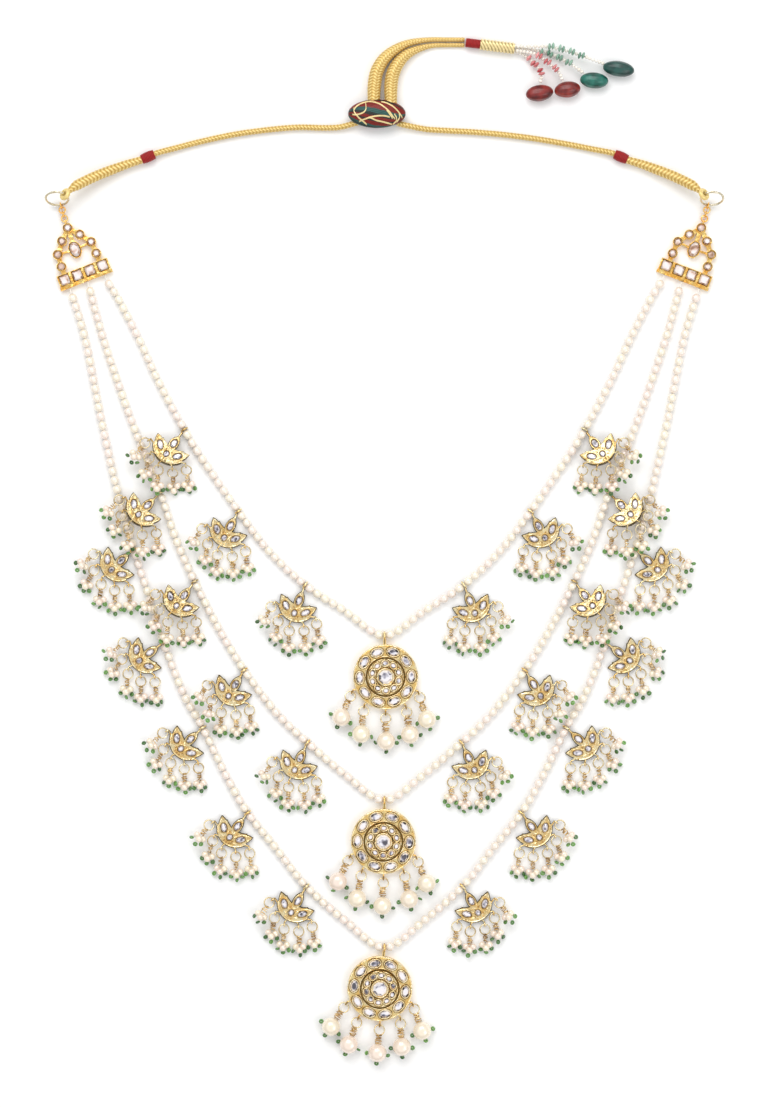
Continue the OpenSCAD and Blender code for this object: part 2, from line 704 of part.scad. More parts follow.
// Places where the cord goes into the slider, and its direction there
ENTRY_LEFT = [-11.2, 220, 2.2];
ENTRY_RIGHT = [5.4, 219.6, 2.2];
entry_left_dir = [each polar(1, 16), 0];
entry_right_dir = [each polar(1, 166), 0];
function on_floor(list, r) = [for (i = [0 : len(list) - 1])
    [list[i][0], list[i][1], i == 0 || i == len(list) - 1 ? r + 0.3 : r + 0.03]];
function from_tie(side, s) = let (p = tie_at + tie_dir * s) [-side * p[0], p[1], p[2]];
cord_left_route = concat([from_tie(-1, tie_in), from_tie(-1, tie_l / 2 + 1.6)], on_floor(CORD_LEFT, cord_r),
                         [ENTRY_LEFT - entry_left_dir * 4, ENTRY_LEFT]);
cord_right_route = concat([from_tie(1, tie_in), from_tie(1, tie_l / 2 + 1.6)], on_floor(CORD_RIGHT, cord_r),
                          [ENTRY_RIGHT - entry_right_dir * 4, ENTRY_RIGHT]);
function along(n, step) = [for (s = [0 : step : n - 1]) s];

module side_cord(route) {
    color("gold") tube(route, [for (s = along(len(route), 0.5)) [s, cord_r]], 8);
}

function tail_route(list, x) = concat([[x, slider_at[1] + tail_seat, tail_z]],
    [for (i = [0 : len(list) - 1]) [list[i][0], list[i][1], i == 0 ? tail_z : TAIL_THICK[i + 1]]],
    [[TASSEL_AT[0], list[len(list) - 1][1], TAIL_THICK[8]]]);
tail_left_x = -4.6;
tail_right_x = 2.7;
tail_z = 3.4;

function tail_r(s) = let (i = floor(s)) mix(TAIL_THICK[i], TAIL_THICK[min(i + 1, 9)], s - i);

module tail_cord(list, x) {
    route = tail_route(list, x);
    color("gold") tube(route, [for (s = along(len(route), 0.5)) [s, tail_r(s)]], 10);
}

// A bean of half sizes a, b and c, from rings of n points and two poles
module bean(a, b, c, n, rings) {
    points = concat([[-a, 0, 0]], [for (i = [1 : rings], k = [0 : n - 1])
        let (t = 180 * i / (rings + 1), u = 360 * (k + 0.5) / n)
        [-a * cos(t), b * sin(t) * cos(u), c * sin(t) * sin(u)]], [[a, 0, 0]]);
    last = len(points) - 1;
    polyhedron(points, [for (k = [0 : n - 1]) let (m = (k + 1) % n) each concat(
        [[0, 1 + k, 1 + m], [last, last - n + m, last - n + k]],
        [for (i = [0 : rings - 2]) let (p = 1 + i * n) each [[p + k, p + n + k, p + m],
                                                            [p + m, p + n + k, p + n + m]]])]);
}

module slider() {
    color("darkgreen") difference() {
        translate(slider_at) bean(slider_l / 2, slider_w / 2, slider_h / 2, 20, 9);
        for (x = [tail_left_x, tail_right_x])
            translate([x, slider_at[1] + tail_seat - 0.2, tail_z]) rotate([-90, 0, 0])
                cylinder(9, TAIL_THICK[0] + 2 * socket_gap, TAIL_THICK[0] + 2 * socket_gap);
        for (s = [[ENTRY_LEFT, entry_left_dir], [ENTRY_RIGHT, entry_right_dir]])
            rod(s[0] + s[1] * 0.4, s[0] - s[1] * 9, cord_r + 3 * socket_gap);
    }
}

// Tassel

tassel_dir = [each polar(1, tassel_turn), 0];
wrap_from = [each TASSEL_AT, wrap_d / 2] + tassel_dir * 0.5;
tie_part = 6.4;
wrap_end = wrap_from + tassel_dir * (tie_part + wrap_l);
// Oval beads: [x, y] of the centre, turn
BEADS = [[67.3, 232.5, 8], [79.4, 234, 8], [91, 238, -4], [101.6, 243, -8]];
// Where each string goes from the winding: two places on the way
STRANDS = [[[62.4, 248], [67.8, 241.4]], [[66.4, 249], [75, 242.2]], [[70, 250.4], [80, 245.6]],
           [[73, 252.4], [84.6, 249]]];
STRAND_FROM = [[-0.9, -0.9], [-0.9, 0.9], [0.9, -0.9], [0.9, 0.9]];
string_2r = tassel_string_d / 2;
bead_r = oval_bead_d / 2;

module tassel_wrap() {
    color("gold") translate(wrap_from) rotate([0, 0, tassel_turn]) rotate([0, 90, 0]) {
        cylinder(tie_part, wrap_d / 2 - 0.3, wrap_d / 2 - 0.3);
        translate([0, 0, tie_part - eps]) cylinder(wrap_l, wrap_d / 2, wrap_d / 2);
    }
}

function bead_hole(i) = [BEADS[i][0], BEADS[i][1], bead_r];
function strand_route(i) =
    let (c = wrap_end + [each polar(STRAND_FROM[i][0], tassel_turn + 90), STRAND_FROM[i][1]],
         a = c + tassel_dir * 0.5,
         b = bead_hole(i),
         p = [each STRANDS[i][0], i % 2 == 0 ? string_2r + 0.6 : string_2r + 2.8],
         q = [each STRANDS[i][1], bead_r], to = unit(b - q))
    [a, p, q, b - to * (strand_stop(i) + 1), b - to * (strand_stop(i) - 1.5)];
function strand_dir(i) = unit(flat(bead_hole(i)) - STRANDS[i][1]);
// Distance from a bead's centre to its surface towards its string
function strand_stop(i) =
    let (d = strand_dir(i), t = BEADS[i][2],
         a = d[0] * cos(t) + d[1] * sin(t), b = d[1] * cos(t) - d[0] * sin(t))
    1 / norm([a / (oval_bead_l / 2), b / bead_r]);

module tassel_strings() {
    color("snow")
        for (i = [0 : 3])
            tube(strand_route(i),
                 concat([for (s = [0 : 0.5 : 3]) [s, string_2r]], [[3.1, 0.35], [4, 0.35]]), 6);
}

bead_profile = concat([[0, -oval_bead_l / 2]],
    [for (t = [-75 : 15 : 75]) [bead_r * cos(t), oval_bead_l / 2 * sin(t)]], [[0, oval_bead_l / 2]]);
module tassel_beads() {
    color("maroon")
        for (i = [0 : 3])
            difference() {
                translate(bead_hole(i)) rotate([0, 0, BEADS[i][2]]) rotate([0, 90, 0])
                    rotate_extrude() polygon(bead_profile);
                translate(bead_hole(i)) rotate([0, 0, atan2(strand_dir(i)[1], strand_dir(i)[0])])
                    rotate([0, 90, 0]) cylinder(2 * oval_bead_l, 0.6, 0.6, center = true);
            }
}

// Nodes

STRING_NAMES = ["inner", "middle", "outer"];
LISTS = [INNER, MIDDLE, OUTER];
MOTIFS = [INNER_MOTIFS, MIDDLE_MOTIFS, OUTER_MOTIFS];
START_X = [hole_pitch, 0, -hole_pitch];

for (k = [0 : 2]) {
    n = STRING_NAMES[k];
    pearl_string(LISTS[k], MOTIFS[k], START_X[k]);
    for (i = [0 : len(MOTIFS[k]) - 1]) {
        motif(LISTS[k], MOTIFS[k][i]);
        mirror([1, 0, 0]) motif(LISTS[k], MOTIFS[k][i]);
    }
    motif_drops(LISTS[k], MOTIFS[k]);
    mirror([1, 0, 0]) motif_drops(LISTS[k], MOTIFS[k]);
    pendant(LISTS[k], k);
    stones_of_pendant(LISTS[k], k);  // pendant_stones
    pendant_drops(LISTS[k], k);
}
end_plate();  // end_plate_left
mirror([1, 0, 0]) end_plate();  // end_plate_right
plate_stones();  // plate_stones_left
mirror([1, 0, 0]) plate_stones();  // plate_stones_right
chain();  // chain_left
mirror([1, 0, 0]) chain();  // chain_right
end_ring();  // end_ring_left
mirror([1, 0, 0]) end_ring();  // end_ring_right
cord_loop();  // cord_loop_left
mirror([1, 0, 0]) cord_loop();  // cord_loop_right
cord_tie();  // cord_tie_left
mirror([1, 0, 0]) cord_tie();  // cord_tie_right
side_cord(cord_left_route);  // cord_left
side_cord(cord_right_route);  // cord_right
tail_cord(TAIL_LEFT, tail_left_x);  // tail_cord_left
tail_cord(TAIL_RIGHT, tail_right_x);  // tail_cord_right
slider();
tassel_wrap();
tassel_strings();
tassel_beads();
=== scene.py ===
"""Kundan necklace laid flat on a pale floor, seen from straight above.

Lengths in this script are millimetres in the CAD's own axes (+X right, +Y towards the cord,
+Z up) and become metres where a mesh is made. Left-hand pieces are mirrored to the right.
"""
import random
from math import acos, asin, atan2, cos, degrees, hypot, pi, radians, sin, sqrt

import bpy
import numpy as np
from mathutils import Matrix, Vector
from numpy.linalg import norm


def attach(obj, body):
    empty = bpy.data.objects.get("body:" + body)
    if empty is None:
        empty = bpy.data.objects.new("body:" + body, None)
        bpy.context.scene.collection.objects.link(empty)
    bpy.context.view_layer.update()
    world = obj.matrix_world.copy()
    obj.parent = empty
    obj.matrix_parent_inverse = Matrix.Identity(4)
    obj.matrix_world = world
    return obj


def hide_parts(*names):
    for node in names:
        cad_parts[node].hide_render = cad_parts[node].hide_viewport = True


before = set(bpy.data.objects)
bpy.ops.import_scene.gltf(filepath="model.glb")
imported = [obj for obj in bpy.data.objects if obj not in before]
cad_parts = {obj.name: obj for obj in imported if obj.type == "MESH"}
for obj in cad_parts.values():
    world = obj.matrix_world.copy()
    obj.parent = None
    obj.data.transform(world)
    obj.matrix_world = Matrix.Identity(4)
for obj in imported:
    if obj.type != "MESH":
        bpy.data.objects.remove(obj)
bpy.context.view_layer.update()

MM = 0.001
BODY = "root"

# Sizes that repeat the CAD's
PEARL_D = 4.0
THREAD_D = 0.8
RING_R = 2.2
WIRE_R = 0.3
EYELET_R = 0.85
LOW_Z = EYELET_R + WIRE_R + 0.1
HEAD_L = 3.2
LONG_HEAD_L = 4.3
HEAD_D = 1.6
SMALL_R = 1.5
LARGE_R = 4.0
HEAD_AT = 2 * RING_R - WIRE_R
BALL_AT = HEAD_AT + HEAD_L + 0.3
PAIR_AT = BALL_AT + SMALL_R * 0.8
PAIR_SIDE = SMALL_R * 1.067
FRONT_AT = PAIR_AT + SMALL_R * 0.856
FRONT_UP = SMALL_R * 1.367
LARGE_AT = HEAD_AT + LONG_HEAD_L + LARGE_R - 0.2
TIP_REACH = 10.4
BODY_T = 1.5
TOP_Z = 2.1
BAIL_REACH = 13.2
DISC_D = 28.2
PENDANT_REACH = 18.0
BAR_L = 24
BAR_W = 1.3
HOLE_PITCH = 8.2
HOLE_Z = 1.2
PLATE_AT = np.array([-129.5, 151.5])
PLATE_TURN = 21

# Knots of the left half of each string, from the plate down to its lowest point
INNER = [[-115.5, 143], [-106.5, 125.5], [-98.5, 108], [-87, 86.5], [-79, 73.5], [-63.5, 51],
         [-50, 33.5], [-34.5, 19], [-17, 7.5], [0, -3]]
MIDDLE = [[-122, 125.5], [-110, 90.5], [-97.5, 59], [-90.5, 38.5], [-82.5, 20.5], [-72, 0],
          [-61, -18], [-47, -36.5], [-33.5, -49.5], [-17, -63.5], [0, -74.5]]
OUTER = [[-130, 125.5], [-123, 90.5], [-116.5, 61.5], [-109, 34.5], [-102, 13], [-96, -6],
         [-87, -29], [-79, -43], [-69, -63.5], [-59.5, -80], [-47.5, -95], [-34, -112],
         [-17, -127], [0, -138.5]]
# Motifs of a string: knot that carries the bail, direction from the stone to the bail, tilt
STRANDS = {
    "inner": (INNER, [(3, 55, 17), (5, 62, 0), (7, 69, 0)], HOLE_PITCH, 1.5,
              (247, 264, 271, 278, 288)),
    "middle": (MIDDLE, [(2, 46, 17), (4, 54, 14), (6, 59, 0), (8, 65, 0)], 0, -1.5,
               (244, 260, 268, 281, 292)),
    "outer": (OUTER, [(3, 43, 0), (5, 37, 0), (7, 44, 0), (9, 54, 0), (11, 60, 0)], -HOLE_PITCH,
              -6.5, (236, 250, 265, 273, 290)),
}
# Eyelets of a motif: angle from the bail's direction, share of TIP_REACH
EYELETS = [(-84, 0.94), (-122, 0.66), (180, 0.57), (122, 0.66), (84, 0.94)]
# Stones of a motif: angle, share of TIP_REACH, length, width, turn
MOTIF_STONES = [(0, 0, 3, 2.6, 0), (0, 0.56, 4.2, 2.8, 0), (67, 0.47, 4.4, 2.8, 45),
                (-67, 0.47, 4.4, 2.8, -45)]
PENDANT_EYELETS = (204, 234, 270, 304, 334)


# Vectors and curves

def polar(r, a):
    return np.array([r * cos(radians(a)), r * sin(radians(a))])


def unit(v):
    return v / norm(v)


def curve_point(points, s):
    """Place s, counted in points, on a smooth curve through all the points."""
    last = len(points) - 1
    i = min(int(s), last - 1)
    t = s - i
    a, b, c, d = (points[min(max(k, 0), last)] for k in (i - 1, i, i + 1, i + 2))
    return 0.5 * (2 * b + (c - a) * t + (2 * a - 5 * b + 4 * c - d) * t * t
                  + (3 * b - a - 3 * c + d) * t ** 3)


class Route:
    """A smooth curve through points, read by the length along it."""

    def __init__(self, points, fine=24):
        points = [np.array(p, float) for p in points]
        self.line = np.array([curve_point(points, k / fine)
                              for k in range(fine * (len(points) - 1) + 1)])
        steps = norm(np.diff(self.line, axis=0), axis=1)
        self.along = np.concatenate([[0], np.cumsum(steps)])
        self.knots = self.along[::fine]
        self.length = self.along[-1]

    def at(self, s):
        return np.array([np.interp(s, self.along, self.line[:, k]) for k in range(3)])

    def heading(self, s):
        return unit(self.at(min(s + 0.3, self.length)) - self.at(max(s - 0.3, 0)))

    def frame(self, s):
        return frame_along(self.at(s), self.heading(s))

    def sampled(self, step):
        n = max(2, round(self.length / step))
        return [self.length * k / n for k in range(n + 1)]


def frame_along(origin, direction):
    """A frame whose x axis is the direction and whose z axis leans up."""
    x = unit(np.array(direction, float))
    side = np.array([-x[1], x[0], 0])
    y = unit(side) if norm(side) > 1e-6 else np.array([0, 1.0, 0])
    m = np.eye(4)
    m[:3] = np.column_stack([x, y, np.cross(x, y), origin])
    return m


def move(x, y, z):
    m = np.eye(4)
    m[:3, 3] = (x, y, z)
    return m


def scale(x, y, z):
    return np.diag([x, y, z, 1.0])


def carried(m, x, y, z):
    """Where the frame m puts the point x, y, z of its own axes."""
    return (m @ [x, y, z, 1])[:3]


def turned(a, i, k):
    """A turn by a degrees from axis i towards axis k."""
    c, s = polar(1, a)
    m = np.eye(4)
    m[i, i], m[i, k], m[k, i], m[k, k] = c, -s, s, c
    return m


def turn_x(a):
    return turned(a, 1, 2)


def turn_y(a):
    return turned(a, 2, 0)


def turn_z(a):
    return turned(a, 0, 1)


def around(n):
    """The angles of n places on a circle."""
    return [2 * pi * k / n for k in range(n)]


SIDES = {"left": np.eye(4), "right": scale(-1, 1, 1)}


# Shapes: lists of points and faces, placed many times into one mesh

def ball(n, rings):
    """A bead round the x axis, with a small hole's dimple at both ends."""
    points = []
    hole_edge, hole_depth = 0.16, 0.8
    for i in range(rings + 1):
        t = hole_edge + (pi - 2 * hole_edge) * i / rings
        for u in around(n):
            points.append((-cos(t), sin(t) * cos(u), sin(t) * sin(u)))
    points += [(-hole_depth, 0, 0), (hole_depth, 0, 0)]
    faces = grid(rings, n)
    end = rings * n
    for k in range(n):
        m = (k + 1) % n
        faces += [(m, k, len(points) - 2), (end + k, end + m, len(points) - 1)]
    return np.array(points), faces


def grid(rows, n):
    """Faces of a closed sleeve of rows + 1 rings with n points each, seen from outside."""
    return [(i * n + k, i * n + (k + 1) % n, (i + 1) * n + (k + 1) % n, (i + 1) * n + k)
            for i in range(rows) for k in range(n)]


def caps(rows, n):
    """The two end faces of such a sleeve."""
    return [tuple(range(n))[::-1], tuple(rows * n + k for k in range(n))]


def ring(r, wire, n, m):
    """A torus round the z axis."""
    points = []
    for a in around(n):
        for u in around(m):
            w = r + wire * cos(u)
            points.append((w * cos(a), w * sin(a), wire * sin(u)))
    faces = [(i * m + k, (i + 1) % n * m + k, (i + 1) % n * m + (k + 1) % m, i * m + (k + 1) % m)
             for i in range(n) for k in range(m)]
    return np.array(points), faces


def wire(line, r, n):
    """A round wire along a line of points, closed at both ends."""
    line = np.array(line, float)
    points = []
    normal = np.array([0.0, 0, 1])
    for i, p in enumerate(line):
        d = unit(line[min(i + 1, len(line) - 1)] - line[max(i - 1, 0)])
        normal = normal - d * normal.dot(d)
        normal = unit(normal) if norm(normal) > 1e-6 else unit(np.cross(d, [0.3, 1, 0.1]))
        side = np.cross(d, normal)
        width = r[i] if hasattr(r, "__len__") else r
        for u in around(n):
            points.append(p + width * (cos(u) * normal + sin(u) * side))
    return np.array(points), grid(len(line) - 1, n) + caps(len(line) - 1, n)


def cut_stone(a, b, h):
    """A stone with eight girdle sides, eight lower and eight upper facets and a table."""
    points = []
    for level, share, shift in ((0, 1, 0), (0.34, 1, 0), (0.72, 0.8, 0.5), (1, 0.5, 0)):
        for k in range(8):
            t = radians(45 * (k + 0.5 + shift))
            points.append((share * a * cos(t), share * b * sin(t), level * h))
    faces = grid(1, 8)
    neighbours = [(k, (k + 1) % 8) for k in range(8)]
    for k, m in neighbours:
        faces += [(8 + k, 8 + m, 16 + k), (8 + m, 16 + m, 16 + k)]
    for k, m in neighbours:
        faces += [(16 + k, 16 + m, 24 + m), (16 + k, 24 + m, 24 + k)]
    return np.array(points), faces + caps(3, 8)[::-1]


def linked(name, data):
    made = bpy.data.objects.new(name, data)
    bpy.context.collection.objects.link(made)
    return made


class Pile:
    """Copies of shapes that become one mesh. tone is a number for a copy or for each point, and
    slot is a material for a copy or for each face."""

    def __init__(self):
        self.points, self.faces, self.tones, self.slots = [], [], [], []
        self.count = 0

    def add(self, shape, placing=None, tone=0.5, slot=0):
        points, faces = shape
        if placing is not None:
            points = points @ placing[:3, :3].T + placing[:3, 3]
            if np.linalg.det(placing[:3, :3]) < 0:
                faces = [f[::-1] for f in faces]
        shift = self.count
        self.points.append(points)
        self.faces += [tuple(i + shift for i in f) for f in faces]
        self.tones.append(np.full(len(points), tone) if np.isscalar(tone) else tone)
        self.slots += slot if isinstance(slot, list) else [slot] * len(faces)
        self.count += len(points)

    def make(self, name, materials, replaces=(), slot=None, smooth=True):
        mesh = bpy.data.meshes.new(name)
        mesh.from_pydata((np.concatenate(self.points) * MM).tolist(), [], self.faces)
        mesh.polygons.foreach_set("use_smooth", [smooth] * len(mesh.polygons))
        mesh.polygons.foreach_set("material_index", self.slots)
        tone = mesh.attributes.new("tone", "FLOAT", "POINT")
        tone.data.foreach_set("value", np.concatenate(self.tones).astype(np.float32))
        for material in materials:
            mesh.materials.append(material)
        piece = linked(name, mesh)
        if replaces:
            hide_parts(*replaces)
        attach(piece, BODY)
        return piece


# Materials

class Look:
    """A material with one Principled shader and a few nodes that feed it."""

    def __init__(self, name, **sockets):
        self.material = bpy.data.materials.new(name)
        self.material.use_nodes = True
        self.tree = self.material.node_tree
        self.shader = self.tree.nodes["Principled BSDF"]
        for socket, value in sockets.items():
            self.shader.inputs[socket.replace("_", " ")].default_value = value

    def node(self, kind, **inputs):
        made = self.tree.nodes.new("ShaderNode" + kind)
        for name, value in inputs.items():
            self.feed(made.inputs[name.replace("_", " ")], value)
        return made

    def feed(self, socket, value):
        if isinstance(value, bpy.types.NodeSocket):
            self.tree.links.new(value, socket)
        else:
            socket.default_value = value

    def place(self):
        return self.node("TexCoord").outputs["Object"]

    def tone(self):
        made = self.node("Attribute")
        made.attribute_name = "tone"
        return made.outputs["Fac"]

    def noise(self, scale, detail=2.0, where=None):
        made = self.node("TexNoise", Scale=scale, Detail=detail, Vector=where or self.place())
        return made.outputs["Fac"]

    def varied(self, scale, detail, spread, least):
        """Noise that runs from least to least + spread."""
        return self.math("MULTIPLY_ADD", self.noise(scale, detail), spread, least)

    def ramp(self, fac, *stops):
        made = self.node("ValToRGB", Fac=fac)
        elements = made.color_ramp.elements
        while len(elements) < len(stops):
            elements.new(0.5)
        for element, (position, colour) in zip(elements, stops):
            element.position = position
            element.color = (*colour, 1)
        return made.outputs["Color"]

    def mix(self, fac, a, b):
        made = self.tree.nodes.new("ShaderNodeMix")
        made.data_type = "RGBA"
        for socket, value in (("Factor_Float", fac), ("A_Color", a), ("B_Color", b)):
            found = next(s for s in made.inputs if s.identifier == socket)
            if isinstance(value, tuple):
                value = (*value, 1)
            self.feed(found, value)
        return next(s for s in made.outputs if s.identifier == "Result_Color")

    def vector_math(self, operation, *values, kind="VectorMath"):
        made = self.node(kind)
        made.operation = operation
        for socket, value in zip(made.inputs, values):
            self.feed(socket, value)
        return made

    def math(self, operation, *values, clamp=False):
        made = self.vector_math(operation, *values, kind="Math")
        made.use_clamp = clamp
        return made.outputs[0]

    def bump(self, height, strength, distance):
        made = self.node("Bump", Height=height, Strength=strength, Distance=distance)
        self.feed(self.shader.inputs["Normal"], made.outputs["Normal"])

    def colour(self, value):
        self.feed(self.shader.inputs["Base Color"], value)

    def roughness(self, value):
        self.feed(self.shader.inputs["Roughness"], value)


BLACK, WHITE = (0, 0, 0), (1, 1, 1)
UPRIGHT = (0, 0, 1, 0)


def gold_look(name, bright, deep, wall_shade=None, low=0.0, high=0.0, plane=UPRIGHT):
    """Gilt metal with uneven polish. Painted shade darkens what lies from low to high over a plane."""
    look = Look(name, Metallic=1.0)
    base = look.mix(look.ramp(look.noise(330, 3), (0.38, BLACK), (0.62, WHITE)), bright, deep)
    stain = look.ramp(look.noise(720, 4), (0.60, BLACK), (0.70, (0.75, 0.75, 0.75)))
    base = look.mix(stain, base, tuple(0.45 * c for c in deep))
    # The band from low to high over the plane is painted shade
    if wall_shade:
        made = look.vector_math("DOT_PRODUCT", look.place(), plane[:3])
        height = look.math("SUBTRACT", made.outputs["Value"], plane[3] * MM)
        above = look.math("GREATER_THAN", height, low * MM)
        below = look.math("LESS_THAN", height, high * MM)
        base = look.mix(look.math("MULTIPLY", above, below), base, wall_shade)
    look.colour(base)
    look.roughness(look.varied(700, 2, 0.24, 0.13))
    look.bump(look.noise(560, 3), 0.9, 0.0004)
    return look.material


gold = gold_look("gold", (1.0, 0.74, 0.28), (0.95, 0.50, 0.10))
# The pendant's gold turns dark brown from 2.05 to 2.85 mm above the floor, as painted shade.
pendant_gold = gold_look("pendant gold", (1.0, 0.83, 0.43), (0.98, 0.63, 0.20), (0.30, 0.19, 0.06),
                         2.05, 2.85)
# The raised rims are real; their paler gold is a painted highlight along their edges
rim_highlight_gold = gold_look("pale gold", (1.0, 0.90, 0.64), (0.94, 0.74, 0.38))
# Dark lines round stones are painted shade in the grooves beside them
groove_shade_gold = gold_look("dark line", (0.50, 0.32, 0.11), (0.16, 0.085, 0.03))
wire_gold = gold_look("wire gold", (1.0, 0.77, 0.40), (0.50, 0.31, 0.12))
ring_gold = gold_look("ring gold", (0.86, 0.76, 0.52), (0.62, 0.48, 0.26))
silver = gold_look("silvery ring", (0.84, 0.78, 0.62), (0.60, 0.52, 0.36))


def pearl_look(name, cream, pink, roughness):
    look = Look(name, Metallic=0.12, Specular_IOR_Level=0.7, Coat_Weight=1.0, Coat_Roughness=0.1,
                Coat_IOR=1.75)
    tone = look.math("ADD", look.tone(), look.varied(420, 2, 0.5, -0.25), clamp=True)
    look.colour(look.mix(tone, cream, pink))
    look.roughness(look.varied(900, 1, 0.1, roughness))
    look.bump(look.noise(1400, 1), 0.15, 0.00005)
    return look.material


pearl = pearl_look("pearl", (0.95, 0.87, 0.71), (0.95, 0.82, 0.74), 0.3)
drop_pearl = pearl_look("drop pearl", (0.96, 0.86, 0.66), (0.96, 0.79, 0.68), 0.26)


def thread_look(name, dark, light, roughness, metallic=0.0):
    """Twisted thread: tone runs from 0 in a groove to 1 on a ridge, and the dark colour in the grooves
    is painted shade.
    """
    look = Look(name, Metallic=metallic, Specular_IOR_Level=0.3)
    tone = look.math("ADD", look.tone(), look.varied(1100, 3, 0.5, -0.25), clamp=True)
    # The mix from dark in the grooves to light on the ridges is painted shade
    look.colour(look.mix(tone, dark, light))
    look.roughness(look.varied(1500, 1, 0.2, roughness - 0.1))
    look.bump(look.noise(2500, 2), 0.3, 0.0001)
    return look.material


gold_thread = thread_look("gold thread", (0.50, 0.28, 0.05), (1.0, 0.82, 0.36), 0.4, 0.3)
pale_thread = thread_look("pale gold thread", (0.30, 0.20, 0.06), (0.96, 0.80, 0.42), 0.35, 0.4)
maroon_thread = thread_look("maroon thread", (0.03, 0.002, 0.003), (0.27, 0.022, 0.014), 0.4)
red_thread = thread_look("red thread", (0.10, 0.002, 0.003), (0.42, 0.012, 0.012), 0.5)
green_thread = thread_look("green thread", (0.004, 0.014, 0.012), (0.035, 0.12, 0.105), 0.5)
black_thread = thread_look("dark thread", (0.004, 0.006, 0.005), (0.03, 0.035, 0.03), 0.5)
white_thread = thread_look("white thread", (0.72, 0.68, 0.60), (0.93, 0.90, 0.84), 0.6)


def glass_bead_look(name, dark, light):
    look = Look(name, Specular_IOR_Level=0.6, Coat_Weight=0.6, Coat_Roughness=0.05)
    look.colour(look.mix(look.tone(), dark, light))
    look.roughness(look.varied(900, 1, 0.12, 0.12))
    look.bump(look.noise(1600, 1), 0.15, 0.00005)
    return look.material


green_seed = glass_bead_look("green seed bead", (0.025, 0.12, 0.015), (0.15, 0.37, 0.07))
white_seed = glass_bead_look("white seed bead", (0.88, 0.82, 0.72), (0.95, 0.91, 0.84))
pink_seed = glass_bead_look("pink seed bead", (0.48, 0.05, 0.06), (0.86, 0.36, 0.36))
tassel_seed = glass_bead_look("green tassel bead", (0.03, 0.16, 0.09), (0.40, 0.62, 0.48))


def foil_look(name, *stops):
    """A clear stone on foil: each facet takes its tone from another patch of a noise; the tint is the
    stone's own, and the dark and bright facets are painted reflection.
    """
    look = Look(name, Metallic=0.3, Coat_Weight=1.0, Coat_Roughness=0.02, Roughness=0.12)
    turned = look.vector_math("SCALE", look.node("NewGeometry").outputs["True Normal"])
    turned.inputs["Scale"].default_value = 2.6
    spread = look.vector_math("MULTIPLY_ADD", look.place(), (230, 230, 230),
                              turned.outputs["Vector"])
    # Dark and bright facets are painted reflection; the lilac or blush tint is the stone's own
    look.colour(look.ramp(look.noise(1.0, 2, spread.outputs["Vector"]), *stops))
    look.bump(look.noise(600, 1), 0.12, 0.0001)
    return look.material


clear_stone = foil_look("clear stone", (0.36, (0.09, 0.085, 0.11)), (0.43, (0.42, 0.40, 0.48)),
                        (0.49, (0.93, 0.92, 0.98)), (0.60, (1.0, 0.95, 0.97)))
blush_stone = foil_look("blush stone", (0.34, (0.36, 0.20, 0.13)), (0.42, (0.80, 0.56, 0.46)),
                        (0.50, (0.97, 0.86, 0.82)), (0.62, (1.0, 0.95, 0.95)))


def mottled_stone(name, dark, light):
    look = Look(name, Coat_Weight=0.3, Coat_Roughness=0.2, Specular_IOR_Level=0.4)
    veins = look.noise(240, 5)
    look.colour(look.mix(look.ramp(veins, (0.38, BLACK), (0.62, WHITE)), dark, light))
    look.roughness(look.varied(800, 2, 0.25, 0.25))
    look.bump(veins, 0.4, 0.00025)
    return look.material


# Camera, light and floor

PHOTO_H = 1108
MM_PER_PIXEL = 0.435
VIEW_CENTRE = (2.39, 32.4)
CAMERA_HEIGHT = 1600.0

camera = linked("camera", bpy.data.cameras.new("camera"))
camera.location = (VIEW_CENTRE[0] * MM, VIEW_CENTRE[1] * MM, CAMERA_HEIGHT * MM)
camera.data.sensor_width = 36.0
camera.data.lens = camera.data.sensor_width * CAMERA_HEIGHT / (PHOTO_H * MM_PER_PIXEL)
camera.data.clip_start, camera.data.clip_end = 0.05, 20.0
bpy.context.scene.camera = camera
bpy.context.scene.view_settings.view_transform = "Standard"

# Metres, a hair below the part
FLOOR_HALF, FLOOR_Z = 3.0, -0.00005
floor_mesh = bpy.data.meshes.new("floor")
floor_mesh.from_pydata([(x * FLOOR_HALF, y * FLOOR_HALF, FLOOR_Z)
                        for x, y in ((-1, -1), (1, -1), (1, 1), (-1, 1))], [], [(0, 1, 2, 3)])
floor = linked("floor", floor_mesh)
paper = Look("floor", Roughness=0.8, Specular_IOR_Level=0.2)
paper.colour(paper.mix(paper.noise(30, 2), (0.94, 0.94, 0.94), (0.97, 0.97, 0.97)))
floor_mesh.materials.append(paper.material)


LIT_AT = Vector((0, 0.03, 0))


def area_light(name, place, size, watts):
    """A rectangular lamp that faces the necklace; place and size in metres."""
    light = bpy.data.lights.new(name, "AREA")
    light.shape = "RECTANGLE"
    light.size, light.size_y = size
    light.energy = watts
    lamp = linked(name, light)
    lamp.location = place
    lamp.rotation_euler = (LIT_AT - Vector(place)).to_track_quat("-Z", "Y").to_euler()


area_light("key light", (-0.2, 0.97, 1.15), (1.2, 0.9), 10.0)
area_light("fill light", (0.9, -0.5, 1.0), (0.8, 0.8), 3.5)

world = bpy.data.worlds.new("studio")
world.use_nodes = True
bpy.context.scene.world = world
sky = world.node_tree.nodes
sky_place = sky.new("ShaderNodeTexCoord")
sky_split = sky.new("ShaderNodeSeparateXYZ")
sky_ramp = sky.new("ShaderNodeValToRGB")
